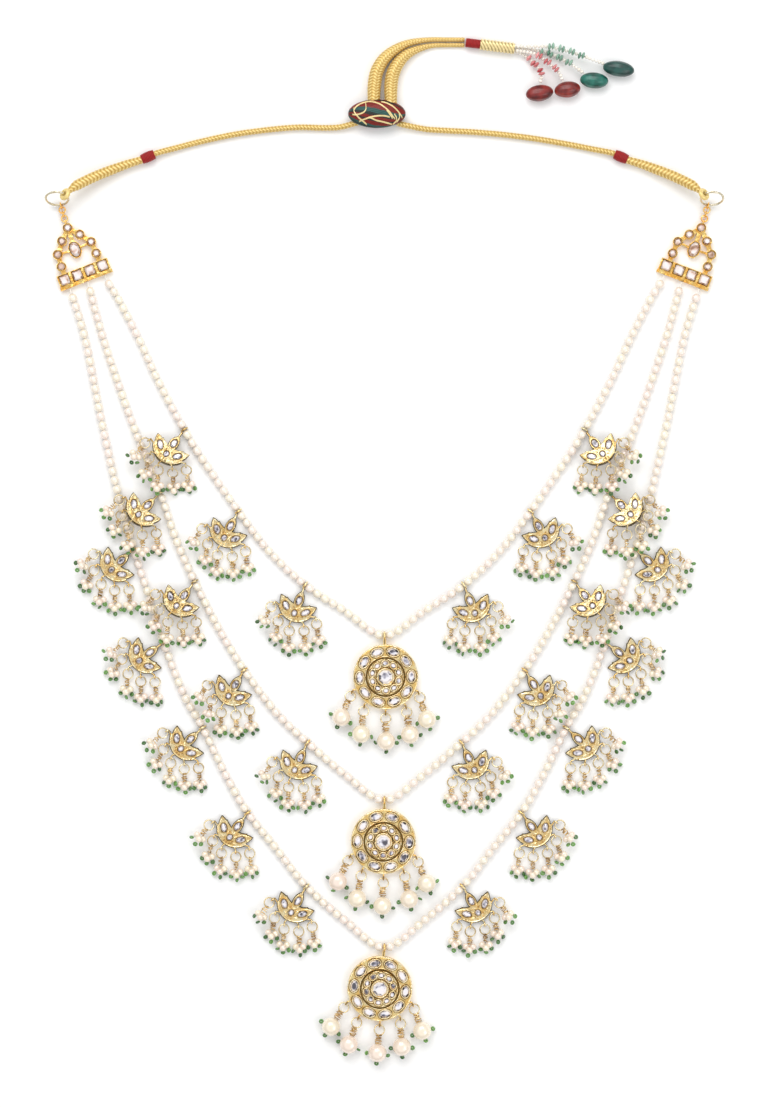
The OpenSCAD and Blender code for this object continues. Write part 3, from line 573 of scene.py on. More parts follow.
# The room's brightness from the horizon, at 0, to straight above, at 1
levels = sky_ramp.color_ramp.elements
levels[0].color = (0.65, 0.65, 0.65, 1)
levels[1].color = (0.7, 0.7, 0.7, 1)
for position, level in ((0.10, 0.3), (0.40, 0.4), (0.55, 1.0), (0.75, 1.1), (0.9, 0.7)):
    levels.new(position).color = (level, level, level, 1)
join = world.node_tree.links.new
join(sky_place.outputs["Generated"], sky_split.inputs[0])
join(sky_split.outputs["Z"], sky_ramp.inputs[0])
join(sky_ramp.outputs["Color"], sky["Background"].inputs["Color"])


# Strings of pearls

chance = random.Random(7)


def plate_point(x, y):
    return PLATE_AT + turn_z(PLATE_TURN)[:2, :2] @ np.array([x, y])


def string_route(knots, x):
    """The whole string from the left plate to the right one."""
    half = [[*plate_point(x, 0), HOLE_Z], [*plate_point(x, -BAR_W / 2 - 0.5), HOLE_Z],
            [*plate_point(x, -BAR_W / 2 - PEARL_D / 2 - 0.6), PEARL_D / 2]]
    half += [[p[0], p[1], PEARL_D / 2] for p in knots]
    return half + [[-p[0], p[1], p[2]] for p in half[-2::-1]]


# A route has LEAD points before the knots, and its pearls begin at point START
LEAD = 3
START = LEAD - 1
BAIL_HALF = 0.5
PEARL = ball(16, 9)
for name, (knots, motifs, hole_x, _, _) in STRANDS.items():
    points = string_route(knots, hole_x)
    route = Route(points)
    last = len(points) - 1
    own = [m[0] + LEAD for m in motifs]
    stops = [START] + own + [last // 2] + [last - k for k in own[::-1]] + [last - START]
    pile = Pile()
    for first, second in zip(stops, stops[1:]):
        start = route.knots[first] + (BAIL_HALF if first != START else 0)
        end = route.knots[second] - (BAIL_HALF if second != last - START else 0)
        count = round((end - start) / PEARL_D)
        pitch = (end - start) / count
        for k in range(count):
            s = start + (k + 0.5) * pitch
            r = PEARL_D / 2 * chance.uniform(0.92, 0.99)
            m = route.frame(s)
            m[2, 3] = r
            m = m @ turn_x(chance.uniform(0, 360)) @ scale(pitch / 2 * 0.97, r, r)
            pile.add(PEARL, m, chance.random())
    thread = [route.at(s) for s in route.sampled(3.0)]
    pile.add(wire(thread, 0.35 * THREAD_D, 6), None, 0.7, 1)
    pile.make("pearls_" + name, [pearl, white_thread], ["string_" + name], "pearl")


# Motifs: their stones, the rims and dark lines of painted shade round them and the small grains
# between them

def bail_at(knots, motif):
    return np.array([*knots[motif[0]], PEARL_D / 2])


def reach_of(motif):
    return BAIL_REACH / cos(radians(motif[2]))


def motif_frame(knots, motif):
    """From a motif's own axes, with x towards its bail, to the necklace's."""
    x, y, z = bail_at(knots, motif)
    return (move(x, y, z) @ turn_z(motif[1]) @ turn_y(motif[2])
            @ move(-reach_of(motif), 0, -z))


def eyelet_place(knots, motif, angle, share):
    return carried(motif_frame(knots, motif), *polar(share * TIP_REACH, angle), LOW_Z)


def leaf_outline(a, b, inset, steps=12):
    """A pointed leaf of two arcs along the x axis, held back by inset."""
    r = (a * a + b * b) / (2 * b)
    half = degrees(acos((r - b) / (r - inset)))
    upper = [polar(r - inset, 90 + half * (1 - 2 * k / steps)) - [0, r - b] for k in range(steps + 1)]
    return upper + [[x, -y] for x, y in upper[-2:0:-1]]


CRESCENT_R, CENTRE_U = 8.6, 8.6 - 3.9
# Leaves of a motif: angle, reach and half length as shares of TIP_REACH, half width, turn
LEAVES = [(0, 0.55, 0.45, 2.2, 0), (67, 0.47, 0.53, 2.35, 45), (-67, 0.47, 0.53, 2.35, -45)]
RIM_INSET, RIM_R, RIM_Z = 0.62, 0.24, TOP_Z + 0.05


def motif_rims():
    """Raised rims of a motif's three leaves and of its rounded lower edge."""
    rims = []
    for angle, share, half, b, own_turn in LEAVES:
        outline = [[*p, 0] for p in leaf_outline(TIP_REACH * half, b, RIM_INSET)]
        seat = move(*polar(TIP_REACH * share, angle), RIM_Z) @ turn_z(own_turn)
        rims.append([carried(seat, *p) for p in outline + outline[:1]])
    edge = [[CENTRE_U, 0] + polar(CRESCENT_R - RIM_INSET, a) for a in range(112, 249, 8)]
    rims.append([[*p, RIM_Z] for p in edge])
    return [wire(line, RIM_R, 6) for line in rims]


# From a stone's edge to the middle of the wire round it
RIM_OUT = 0.22


def oval_rim(a, b, r, n=28):
    """A closed wire round a stone with half length a and half width b."""
    line = [[(a + RIM_OUT) * cos(t), (b + RIM_OUT) * sin(t), 0]
            for t in around(n) + [2 * pi]]
    return wire(line, r, 6)


# Grains of gold on a motif: angle, distance from the centre stone
GRAINS = [(180, 2.5), (152, 2.7), (-152, 2.7), (34, 2.6), (-34, 2.6), (118, 2.3), (-118, 2.3),
          (90, 6.2), (-90, 6.2)]
GRAIN, GRAIN_R = ball(8, 5), 0.42
MOTIF_RIMS = motif_rims()
STONE_H, COLLET_TOP = 1.35, 0.95
# Each stone's place, the stone and the dark line of painted shade round its collet's top
set_stones = [(move(*polar(share * TIP_REACH, angle), TOP_Z - 0.44) @ turn_z(own_turn),
               cut_stone(length / 2 - 0.06, width / 2 - 0.06, STONE_H),
               oval_rim(length / 2 - 0.12, width / 2 - 0.12, 0.15, 20))
              for angle, share, length, width, own_turn in MOTIF_STONES]
for name, (knots, motifs, _, _, _) in STRANDS.items():
    pile = Pile()
    for mirror in SIDES.values():
        for motif in motifs:
            place = mirror @ motif_frame(knots, motif)
            for seat, stone, line in set_stones:
                pile.add(stone, place @ seat, chance.random(), 0)
                pile.add(line, place @ seat @ move(0, 0, COLLET_TOP), 0.5, 3)
            for angle, reach in GRAINS:
                at = move(*polar(reach, angle), TOP_Z + 0.1) @ scale(GRAIN_R, GRAIN_R, GRAIN_R)
                pile.add(GRAIN, place @ at, 0.5, 1)
            # The rims' paler gold is a painted highlight
            for rim in MOTIF_RIMS:
                pile.add(rim, place, 0.5, 2)
    pile.make("motif_stones_" + name, [clear_stone, wire_gold, rim_highlight_gold, groove_shade_gold], (),
              "clear_stone", smooth=False)


# Drops

HANG_SHARE, HANG_SWING = 0.9, 78
HEAD_SHARE, LAST_OVER = 0.3, 2.2


def hang(radial):
    """The direction of a drop, which swings from its eyelet's own towards straight down."""
    r = (radial + 360) % 360
    return r + min(max((270 - r) * HANG_SHARE, -HANG_SWING), HANG_SWING)


def to_strings(p):
    """Distance of a point from the nearest string's middle line, in plan."""
    best = 1e9
    for knots, *_ in STRANDS.values():
        a, b = np.array(knots[:-1], float), np.array(knots[1:], float)
        d = b - a
        t = np.clip(((p - a) * d).sum(1) / (d * d).sum(1), 0, 1)
        best = min(best, norm(p - (a + d * t[:, None]), axis=1).min())
    return best


def rise(p, turn, bend, over):
    """The slope at which a drop lies down beside the strings or over them."""
    found = [degrees(asin((over + SMALL_R - p[2]) / PAIR_AT))]
    for s, half, thick in ((PAIR_AT, 2 * SMALL_R, SMALL_R),
                           (HEAD_AT + HEAD_L / 2, HEAD_D / 2, HEAD_D / 2),
                           (HEAD_AT, RING_R / 2, HEAD_D / 2), (RING_R, RING_R, WIRE_R)):
        place = p[:2] + polar(RING_R, turn) + polar(s - RING_R, turn + bend)
        near = to_strings(place) < PEARL_D / 2 + half + 0.15
        need = PEARL_D + thick + 0.2 if near else thick + 0.1
        along = RING_R + (s - RING_R) * cos(radians(bend))
        found.append(degrees(asin(min(max((need - p[2]) / along, -0.55), 0.8))))
    return max(found)


def coil(length, turns, r, thin, seed):
    """A head of wire wrapped round and round in loose flat curls along the x axis."""
    own = random.Random(seed)
    steps, flat = 11, 0.72
    line = []
    for k in range(int(turns * steps) + 1):
        a = 2 * pi * k / steps
        if k % 5 == 0:
            wobble = own.uniform(0.7, 1.15)
            slip = own.uniform(-0.35, 0.35)
        share = k / (turns * steps)
        w = r * wobble * (0.72 + 0.28 * sin(pi * share))
        line.append((length * share + slip, w * cos(a), flat * w * sin(a)))
    return wire(line, thin, 5)


SEED_BEAD = ring(0.52, 0.4, 10, 6)
SEED_BEAD_R = 0.92
SEED_R = 1.1
JUMP_RING = ring(RING_R, WIRE_R, 24, 6)
COILS = [coil(HEAD_L + 0.5, 4.5, 1.2, 0.19, k) for k in range(6)]
LONG_COILS = [coil(LONG_HEAD_L + 0.3, 6, 1.5, 0.2, 20 + k) for k in range(6)]
SMALL_PEARL = ball(14, 8)
LARGE_PEARL = ball(24, 14)
# A bunch's three pearls and the seed bead beyond each, in the drop's own axes
BUNCH = [(PAIR_AT, -PAIR_SIDE, 0), (PAIR_AT, PAIR_SIDE, 0), (FRONT_AT, 0, FRONT_UP)]
BUNCH_SEEDS = [(PAIR_AT + 2.0, -2.6, -0.3), (PAIR_AT + 2.1, 2.5, -0.3), (FRONT_AT + 2.3, 0.3, 0.3)]


def seed_at(pile, mirror, p):
    """A green seed bead at p, turned any way, on the floor or over a string."""
    x, y, z = p
    low = PEARL_D + 0.5 if to_strings(np.array([x, y])) < PEARL_D / 2 else SEED_R * 0.95
    tip = turn_z(chance.uniform(0, 360)) @ turn_x(chance.uniform(15, 80))
    m = mirror @ move(x, y, max(z, low)) @ tip @ scale(*[SEED_R / SEED_BEAD_R] * 3)
    pile.add(SEED_BEAD, m, chance.random())


DROP_PARTS = {"rings": ("jump_rings_", ring_gold, "gold"),
              "coils": ("drop_coils_", wire_gold, "gold"),
              "pearls": ("drop_pearls_", drop_pearl, "pearl_drop"),
              "seeds": ("green_seeds_", green_seed, "seed_bead")}


def make_drops(piles, name, node):
    for kind, (start, look, slot) in DROP_PARTS.items():
        piles[kind].make(start + name, [look], [node], slot)


for name, (knots, motifs, _, _, _) in STRANDS.items():
    for side, mirror in SIDES.items():
        piles = {kind: Pile() for kind in DROP_PARTS}
        for motif in motifs:
            for angle, share in EYELETS:
                p = eyelet_place(knots, motif, angle, share)
                turn = hang(motif[1] + angle)
                last = angle == EYELETS[-1][0]
                bend = (270 - turn) * HEAD_SHARE if last else 0
                up = rise(p, turn, bend, LAST_OVER if last else 0.05)
                m = move(*p) @ turn_z(turn) @ turn_y(-up) @ move(RING_R, 0, 0)
                piles["rings"].add(JUMP_RING, mirror @ m)
                m = m @ turn_z(bend) @ move(-RING_R, 0, 0)
                whole = mirror @ m
                piles["coils"].add(chance.choice(COILS), whole @ move(HEAD_AT - 0.2, 0, 0)
                                   @ turn_x(chance.uniform(0, 360)))
                for x, y, z in BUNCH:
                    lean = turn_z(degrees(atan2(y, 2.2))) @ turn_y(-20 if z else 0)
                    r = SMALL_R * chance.uniform(0.95, 1.02)
                    piles["pearls"].add(SMALL_PEARL, whole @ move(x, y, z) @ lean @ scale(r, r, r),
                                        chance.random())
                for x, y, z in BUNCH_SEEDS:
                    x += chance.uniform(-0.3, 0.3)
                    y += chance.uniform(-0.3, 0.3)
                    seed_at(piles["seeds"], mirror, carried(m, x, y, z))
        make_drops(piles, name + "_" + side, "drops_" + name + "_" + side)


# Pendants: their drops, with seed beads wherever there is room beside a pearl

def pendant_centre(knots, turn):
    return np.array(knots[-1], float) + polar(PENDANT_REACH, -90 + turn)


# Rims of a pendant: distance from its middle, height, half length and half width of the stone,
# how many, and where the first lies as a share of the step between them
PENDANT_RIMS = [(11.2, 3.75, 2.55, 1.65, 10, 0.5), (5.95, 4.42, 1.4, 1.15, 10, 0.0),
                (0.0, 4.72, 3.4, 3.4, 1, 0.0)]
# Round edges of a pendant: radius, height, radius of the wire
PENDANT_EDGES = [(DISC_D / 2 - 0.35, 2.75, 0.42), (7.55, 4.0, 0.26), (8.9, 3.25, 0.26)]
LINE_R = 0.17


def pendant_rims(pile, centre, turn):
    for reach, height, a, b, count, first in PENDANT_RIMS:
        for k in range(count):
            angle = 360 * (k + first) / count + 90 + turn
            at = move(*(centre + polar(reach, angle)), height) @ turn_z(angle + 90)
            # The raised rim round each stone, in a paler gold that is a painted highlight
            pile.add(oval_rim(a, b, RIM_R), at)
            # Outside the rim and a little below it, a dark line of painted shade
            pile.add(oval_rim(a + 0.36, b + 0.36, LINE_R), at @ move(0, 0, -0.12), 0.5, 1)
    for reach, height, r in PENDANT_EDGES:
        pile.add(oval_rim(reach - RIM_OUT, reach - RIM_OUT, r, 72), move(*centre, height))


# Round a large pearl, places to try for a seed bead: angles from the drop's direction
SEED_ANGLES = (0, 78, -82, 112, -110, 50)
SEEDS_EACH = 3
SEED_REACH = LARGE_R + 0.75
SEED_GAP = 2.3
for name, (knots, _, _, turn, hangs) in STRANDS.items():
    piles = {kind: Pile() for kind in DROP_PARTS}
    centre = pendant_centre(knots, turn)
    rims = Pile()
    pendant_rims(rims, centre, turn)
    rims.make("pendant_rims_" + name, [rim_highlight_gold, groove_shade_gold], (), "gold")
    pearls, taken = [], []
    for angle, way in zip(PENDANT_EYELETS, hangs):
        p = np.array([*(centre + polar(DISC_D / 2 + 1.8, angle)), LOW_Z])
        up = degrees(asin((LARGE_R + 0.02 - p[2]) / LARGE_AT))
        m = move(*p) @ turn_z(way) @ turn_y(-up)
        piles["rings"].add(JUMP_RING, m @ move(RING_R, 0, 0))
        piles["coils"].add(chance.choice(LONG_COILS), m @ move(HEAD_AT - 0.2, 0, 0))
        piles["pearls"].add(LARGE_PEARL, m @ move(LARGE_AT, 0, 0) @ scale(*[LARGE_R] * 3),
                            chance.random())
        pearls.append((carried(m, LARGE_AT, 0, 0), way))
    for at, way in pearls:
        got = 0
        for angle in SEED_ANGLES:
            out = polar(SEED_REACH, way + angle)
            spot = np.array([at[0] + out[0], at[1] + out[1], 1.9 if angle else 2.4])
            clear = all(norm(spot - q) > SEED_REACH + 0.1 for q, _ in pearls)
            free = all(norm(spot - q) > SEED_GAP for q in taken)
            off_disc = norm(spot[:2] - centre) > DISC_D / 2 + 1.0
            if clear and free and off_disc and got < SEEDS_EACH:
                seed_at(piles["seeds"], np.eye(4), spot)
                taken.append(spot)
                got += 1
    make_drops(piles, "pendant_" + name, "pendant_drops_" + name)


# End plates: dark lines of painted shade round their stones

# Stones of the arch and the one in its middle, as shares of BAR_L
ARCH = [(-0.338, 0.385), (-0.322, 0.612), (-0.163, 0.81), (0.02, 1.0), (0.18, 0.81),
        (0.325, 0.612), (0.338, 0.385)]
ARCH_MIDDLE = (0.004, 0.588)
ARCH_STONE_R, SQUARE_STONE, SQUARES = 1.7, 4.3, 4
ARCH_LINE_Z, SQUARE_LINE_Z = 2.5, 2.3
SQUARE_PITCH = (BAR_L - 0.6) / SQUARES
SQUARE_Y = BAR_W / 2 + SQUARE_STONE / 2 + 0.5
for side, mirror in SIDES.items():
    lines = Pile()
    plate = mirror @ move(*PLATE_AT, 0) @ turn_z(PLATE_TURN)
    for x, y in ARCH:
        at = plate @ move(x * BAR_L, y * BAR_L, ARCH_LINE_Z)
        lines.add(oval_rim(ARCH_STONE_R - 0.1, ARCH_STONE_R - 0.1, LINE_R, 20), at)
    at = plate @ move(ARCH_MIDDLE[0] * BAR_L, ARCH_MIDDLE[1] * BAR_L, ARCH_LINE_Z) @ turn_z(90)
    lines.add(oval_rim(3.2, 2.1, LINE_R, 24), at)
    half = SQUARE_STONE / 2 + 0.08
    corners = [(-half, -half, 0), (half, -half, 0), (half, half, 0), (-half, half, 0)]
    for k in range(SQUARES):
        at = plate @ move((k - (SQUARES - 1) / 2) * SQUARE_PITCH, SQUARE_Y, SQUARE_LINE_Z)
        for a, b in zip(corners, corners[1:] + corners[:1]):
            lines.add(wire([a, b], LINE_R, 6), at)
    lines.make("plate_lines_" + side, [groove_shade_gold], (), "gold")


# Cord

LOOP_D, CORD_D, TIE_D, TIE_L = 3.6, 2.8, 4.8, 6.0
END_RING_R, END_RING_WIRE_R, END_RING_SLOPE = 4.9, 0.5, 60
CHAIN_TURN = 105
HOOK_A, LOOP_A = -75, 40
LINK_R = 1.35
LINK_PITCH = 2 * LINK_R - 2 * WIRE_R - 0.2
LINK_Z = 3.3 / 2 + 0.05
EYE_AT = (0.02 * BAR_L, BAR_L + 1.7 + 0.45 + EYELET_R)
LOOP_WIRE = 1.0
LOOP_EYE_R = END_RING_WIRE_R + LOOP_WIRE + 0.35
LOOP_ROUTE = [[-133.5, 192, 6.6], [-126, 196, 4.4], [-119, 199, 3.1], [-112, 201.6, 2.5]]
LOOP_THICK = [0.6, 1.35, 1.35, 1.3, 1.15, 1, 1]
TIE_AT = np.array([-102.7, 204.9, TIE_D / 2])
TIE_TURN = 23
TIE_DIR = np.array([*polar(1, TIE_TURN), 0])
TIE_IN = TIE_L / 2 - 1.6 + 0.2
CORDS = {
    "left": [[-90, 209], [-80, 211.6], [-66, 214.6], [-52, 216.6], [-38, 217.8], [-27, 217.6],
             [-20, 217.8]],
    "right": [[90, 208.4], [80, 210.4], [66, 212.8], [52, 214.6], [38, 215.8], [27, 216.4], [18, 217]]}
# Where each cord ends in the slider, and its direction there
ENTRY = {"left": (np.array([-11.2, 220, 2.2]), 16), "right": (np.array([5.4, 219.6, 2.2]), 166)}
TAILS = {
    "left": [[-4.6, 230.6], [-4.4, 236], [-3.3, 241.8], [-0.3, 247.2], [4.5, 251.4], [10.8, 254.5],
             [19, 255.9], [27, 256]],
    "right": [[2.7, 230.6], [2.8, 236], [3.7, 241], [6.2, 245.8], [9.9, 249.5], [14.8, 251.9],
              [20.7, 253.4], [27, 253.6]]}
TAIL_THICK = [2.9, 2.9, 3.1, 3.1, 2.8, 2.3, 1.6, 1.15, 1.05, 1.05]
TAIL_Z = 3.4
SLIDER_AT = np.array([-3.3, 223.4, 4.5])
SLIDER_HALF = np.array([12.5, 6.2, 4.5])
TASSEL_AT = (34.8, 254.6)
TASSEL_TURN = -7


def on_end_ring(a):
    c, s = polar(1, a)
    tilt_c, tilt_s = polar(1, END_RING_SLOPE)
    return END_RING_R * np.array([c, s * tilt_c, s * tilt_s])


chain_l = 2 * LINK_R + 3 * LINK_PITCH - WIRE_R - END_RING_WIRE_R - 0.15
hook = plate_point(*EYE_AT) + polar(1, CHAIN_TURN) * chain_l
end_ring_centre = np.array([*hook, LINK_Z]) - on_end_ring(HOOK_A)
loop_at = end_ring_centre + on_end_ring(LOOP_A)
loop_dir = unit(np.array(LOOP_ROUTE[0]) - loop_at)
loop_points = [loop_at + loop_dir * LOOP_EYE_R, *LOOP_ROUTE, TIE_AT - TIE_DIR * (TIE_L / 2 + 1),
               TIE_AT - TIE_DIR * TIE_IN]


def herringbone(columns, pitch):
    """Height of a flat braid, 0 to 1, at turn u and length v in mm."""
    def height(u, v):
        c = u / (2 * pi) * columns
        side = c - int(c)
        slant = side if int(c) % 2 == 0 else 1 - side
        wave = 0.5 + 0.5 * cos(2 * pi * (v / pitch + 0.75 * slant))
        edge = sin(pi * side)
        return wave * (0.35 + 0.65 * edge)
    return height


def winding(pitch, lean=0.0):
    """Height of thread wound round and round."""
    def height(u, v):
        return abs(sin(pi * (v / pitch + lean * cos(u) + u / (2 * pi))))
    return height


def braid(route, radius, height, depth, n, step):
    """A tube along a route whose surface carries a braid or a winding, and its points' tones, low in
    the grooves for painted shade.
    """
    places = route.sampled(step)
    points, tones = [], []
    for s in places:
        m = route.frame(s)
        r = radius(s)
        for u in around(n):
            h = height(u, s)
            w = r - depth * (1 - h)
            points.append(m[:3, 3] + w * (cos(u) * m[:3, 1] + sin(u) * m[:3, 2]))
            # The tone follows the height, for painted shade in the grooves
            tones.append(h)
    rows = len(places) - 1
    return (np.array(points), grid(rows, n) + caps(rows, n)), np.array(tones)


def line_of(route, mirror, step=2.0):
    return [carried(mirror, *route.at(s)) * MM for s in route.sampled(step)]


def path_length(line):
    return float(sum(norm(b - a) for a, b in zip(line, line[1:])))


def declare(line):
    path_length(line)


def thick_at(values, route):
    """Radius by length, from one value for each knot."""
    return lambda s: float(np.interp(s, route.knots, values))


def on_floor(points, r):
    """Points of a cord of radius r that lies on the floor, with its two ends a little higher."""
    last = len(points) - 1
    return [[x, y, r + (0.3 if i in (0, last) else 0.03)] for i, (x, y) in enumerate(points)]


def straight(a, b):
    """A route along the x axis from a to b."""
    return Route([[a, 0, 0], [(a + b) / 2, 0, 0], [b, 0, 0]])


def one_piece(shape, placing, tones, name, look, node, slot):
    pile = Pile()
    pile.add(shape, placing, tones)
    return pile.make(name, [look], [node], slot)


def tie_radius(s):
    """A tie is thicker in the middle."""
    return TIE_D / 2 * (0.86 + 0.14 * sin(pi * s / TIE_L))


tie_braid = braid(straight(-TIE_L / 2, TIE_L / 2), tie_radius, winding(0.62), 0.22, 20, 0.13)
loop_route = Route(loop_points)
loop_radius = thick_at([LOOP_D / 2 * t for t in LOOP_THICK], loop_route)
loop_braid = braid(loop_route, loop_radius, herringbone(6, 1.7), 0.3, 26, 0.24)
eye_place = move(*loop_at) @ turn_x(END_RING_SLOPE) @ turn_z(LOOP_A) @ turn_x(90)
for side, mirror in SIDES.items():
    shape, tones = tie_braid
    tie = one_piece(shape, mirror @ move(*TIE_AT) @ turn_z(TIE_TURN), tones,
                    "cord_tie_winding_" + side, red_thread, "cord_tie_" + side, "crimson_thread")
    shape, tones = loop_braid
    piece = one_piece(shape, mirror, tones, "cord_loop_winding_" + side, gold_thread,
                      "cord_loop_" + side, "gold_cord")
    eye = one_piece(ring(LOOP_EYE_R, LOOP_WIRE, 28, 10), mirror @ eye_place, 0.7,
                    "cord_loop_eye_" + side, gold_thread, "cord_loop_" + side, "gold_cord")
    declare(line_of(loop_route, mirror))


# Threads round the slider: the angle where each band starts, and 0 for maroon, 1 green, 2 dark
BANDS = ((-180, 1), (-150, 0), (-95, 2), (-20, 0), (12, 2), (28, 0), (74, 1), (93, 2), (106, 0),
         (121, 2), (131, 0), (150, 1), (165, 2))


def winding_band(phi):
    """Which thread lies at an angle round the slider."""
    deg = degrees(phi)
    return [kind for start, kind in BANDS if start <= deg][-1]


def slider_body():
    """A bean wound end to end, with a ridge for each thread."""
    n, rings, threads = 144, 44, 48
    points, tones, slots = [], [], []
    for i in range(rings + 1):
        t = pi * (0.012 + 0.976 * i / rings)
        lean = 0.5 * cos(t)
        for u in around(n):
            phi = u - pi
            h = abs(cos(threads / 2 * (phi + lean)))
            w = sin(t) * (1 - 0.045 * (1 - h) * sin(t))
            p = np.array([-cos(t), w * cos(phi), w * sin(phi)])
            points.append(SLIDER_AT + p * SLIDER_HALF)
            # The tone is lower between the threads, as painted shade
            tones.append(0.15 + 0.85 * h)
    for i in range(rings):
        t = pi * (i + 0.5) / rings
        for k in range(n):
            phi = 2 * pi * (k + 0.5) / n - pi + 0.5 * cos(t)
            slots.append(winding_band((phi + pi) % (2 * pi) - pi))
    shape = np.array(points), grid(rings, n) + caps(rings, n)
    return shape, np.array(tones), slots + [2, 2]


def on_slider(x, y):
    """A place on top of the slider, x and y from its middle."""
    rest = 1 - (x / SLIDER_HALF[0]) ** 2 - (y / SLIDER_HALF[1]) ** 2
    return SLIDER_AT + np.array([x, y, SLIDER_HALF[2] * sqrt(max(rest, 0.0)) - 0.05])


pile = Pile()
shape, tones, slots = slider_body()
pile.add(shape, None, tones, slots)
slider = pile.make("slider_winding", [maroon_thread, green_thread, black_thread], ["slider"],
                   "green_thread")

# Gold threads over the slider: places on its top, left to right
GOLD_LINES = [
    [(-10, 1.2), (-8.8, 2.9), (-6.4, 4.3), (-3.1, 5), (0.6, 4.1), (3, 2.6), (5.4, 0.5),
     (6.8, -1.4), (7.9, -2.6)],
    [(1.8, 4.9), (4.2, 4.3), (6.8, 2.9), (8.9, 1), (10.5, -1.1), (11, -1.9)],
    [(-4.9, 4.5), (-4.7, 2.6), (-4.9, 1), (-6.4, -0.2), (-8.8, -0.8), (-10.6, -0.6)],
    [(-9.9, 2.4), (-9.9, 0.8), (-9, -0.7), (-7.6, -2.3), (-6.4, -3.3), (-4.4, -4.9)],
    [(-7.6, -3.6), (-5, -2.7), (-2.9, -2.2), (-0.3, -3.3), (3, -4), (6.6, -4.8)],
    [(-3.6, -2.1), (-0.3, -1.5), (3, -1.4), (5.6, -1.9)],
    [(4.2, 1.2), (5.6, -0.7), (6.8, -2.4)],
    [(7.6, -0.6), (8.5, -2), (8.4, -3.4), (7, -4.7)],
    [(9.6, -0.4), (9.8, -2), (8.6, -3.8)],
]
pile = Pile()
for places in GOLD_LINES:
    fine = Route([[x, y, 0] for x, y in places])
    for shift in (-0.17, 0.17):
        line = [on_slider(*(fine.at(s)[:2] + [0, shift])) for s in fine.sampled(0.6)]
        pile.add(wire(line, 0.2, 6), None, 0.85)
slider_threads = pile.make("slider_gold_threads", [pale_thread], (), "gold_cord")

for side, mirror in SIDES.items():
    entry, entry_turn = ENTRY[side]
    entry_dir = np.array([*polar(1, entry_turn), 0])
    start = [carried(mirror, *(TIE_AT + TIE_DIR * s)) for s in (TIE_IN, TIE_L / 2 + 1.6)]
    middle = on_floor(CORDS[side], CORD_D / 2)
    route = Route([*start, *middle, entry - entry_dir * 4, entry])
    shape, tones = braid(route, lambda s: CORD_D / 2, herringbone(6, 1.5), 0.28, 24, 0.3)
    piece = one_piece(shape, None, tones, "cord_braid_" + side, gold_thread, "cord_" + side,
                      "gold_cord")
    declare(line_of(route, np.eye(4)))


# Tassel

WRAP_L, WRAP_D, TIE_PART = 15.0, 5.0, 6.4
TASSEL_DIR = np.array([*polar(1, TASSEL_TURN), 0])
WRAP_FROM = np.array([*TASSEL_AT, WRAP_D / 2]) + TASSEL_DIR * 0.5
WRAP_END = WRAP_FROM + TASSEL_DIR * (TIE_PART + WRAP_L)
# Oval beads: place and turn. Their strings: two places on the way, and where each one starts
BEADS = [(67.3, 232.5, 8), (79.4, 234, 8), (91, 238, -4), (101.6, 243, -8)]
BEAD_L, BEAD_D = 11.4, 6.8
STRANDS_VIA = [[[62.4, 248], [67.8, 241.4]], [[66.4, 249], [75, 242.2]],
               [[70, 250.4], [80, 245.6]], [[73, 252.4], [84.6, 249]]]
STRAND_FROM = [(-0.9, -0.9), (-0.9, 0.9), (0.9, -0.9), (0.9, 0.9)]
STRING_R = 0.8

wrap_frame = move(*WRAP_FROM) @ turn_z(TASSEL_TURN)
pile = Pile()
shape, tones = braid(straight(0, TIE_PART), lambda s: WRAP_D / 2 - 0.45, winding(0.6), 0.22, 20,
                     0.13)
pile.add(shape, wrap_frame, tones)
shape, tones = braid(straight(TIE_PART, TIE_PART + WRAP_L), lambda s: WRAP_D / 2,
                     winding(1.5, 1.2), 0.45, 22, 0.2)
pile.add(shape, wrap_frame, tones, 1)
tassel_wrap = pile.make("tassel_winding", [red_thread, pale_thread], ["tassel_wrap"],
                        "crimson_thread")


def strand_route(i):
    """The route of a string of seed beads into its oval bead."""
    x, y, turn = BEADS[i]
    centre = np.array([x, y, BEAD_D / 2])
    side, up = STRAND_FROM[i]
    begin = WRAP_END + np.array([*polar(side, TASSEL_TURN + 90), up]) + TASSEL_DIR * 0.5
    p = [*STRANDS_VIA[i][0], STRING_R + (0.6 if i % 2 == 0 else 2.8)]
    q = np.array([*STRANDS_VIA[i][1], BEAD_D / 2])
    to = unit(centre - q)
    a, b = turn_z(-turn)[:2, :2] @ unit(centre[:2] - q[:2])
    stop = 1 / hypot(a / (BEAD_L / 2), b / (BEAD_D / 2))
    return Route([begin, p, q, centre - to * (stop + 1), centre - to * (stop - 1.5)])


SEED_ROUND = ball(10, 6)
SEED_PITCH = 1.5
pile = Pile()
for i in range(len(BEADS)):
    route = strand_route(i)
    reach = route.knots[3]
    count = int(reach / SEED_PITCH)
    for k in range(count):
        s = (k + 0.5) * reach / count
        share = s / reach
        # The middle of a string carries two larger pink or green beads after each white one
        wide = 0.34 < share < 0.82
        slot = (2 if i < 2 else 3) if wide and k % 3 != 2 else 1
        m = route.frame(s)
        r = STRING_R * chance.uniform(0.95, 1.05) * (2.0 if slot > 1 else 1.1)
        m = m @ move(0, chance.uniform(-0.4, 0.4) if wide else 0, r - STRING_R)
        pile.add(SEED_ROUND, m @ scale(SEED_PITCH * 0.46, r, r), chance.random(), slot)
    line = [route.at(s) for s in route.sampled(2.0)]
    pile.add(wire(line, 0.3, 5), None, 0.8, 0)
tassel_seeds = pile.make("tassel_seed_strings", [white_thread, white_seed, pink_seed, tassel_seed],
                         ["tassel_strings"], "seed_bead")

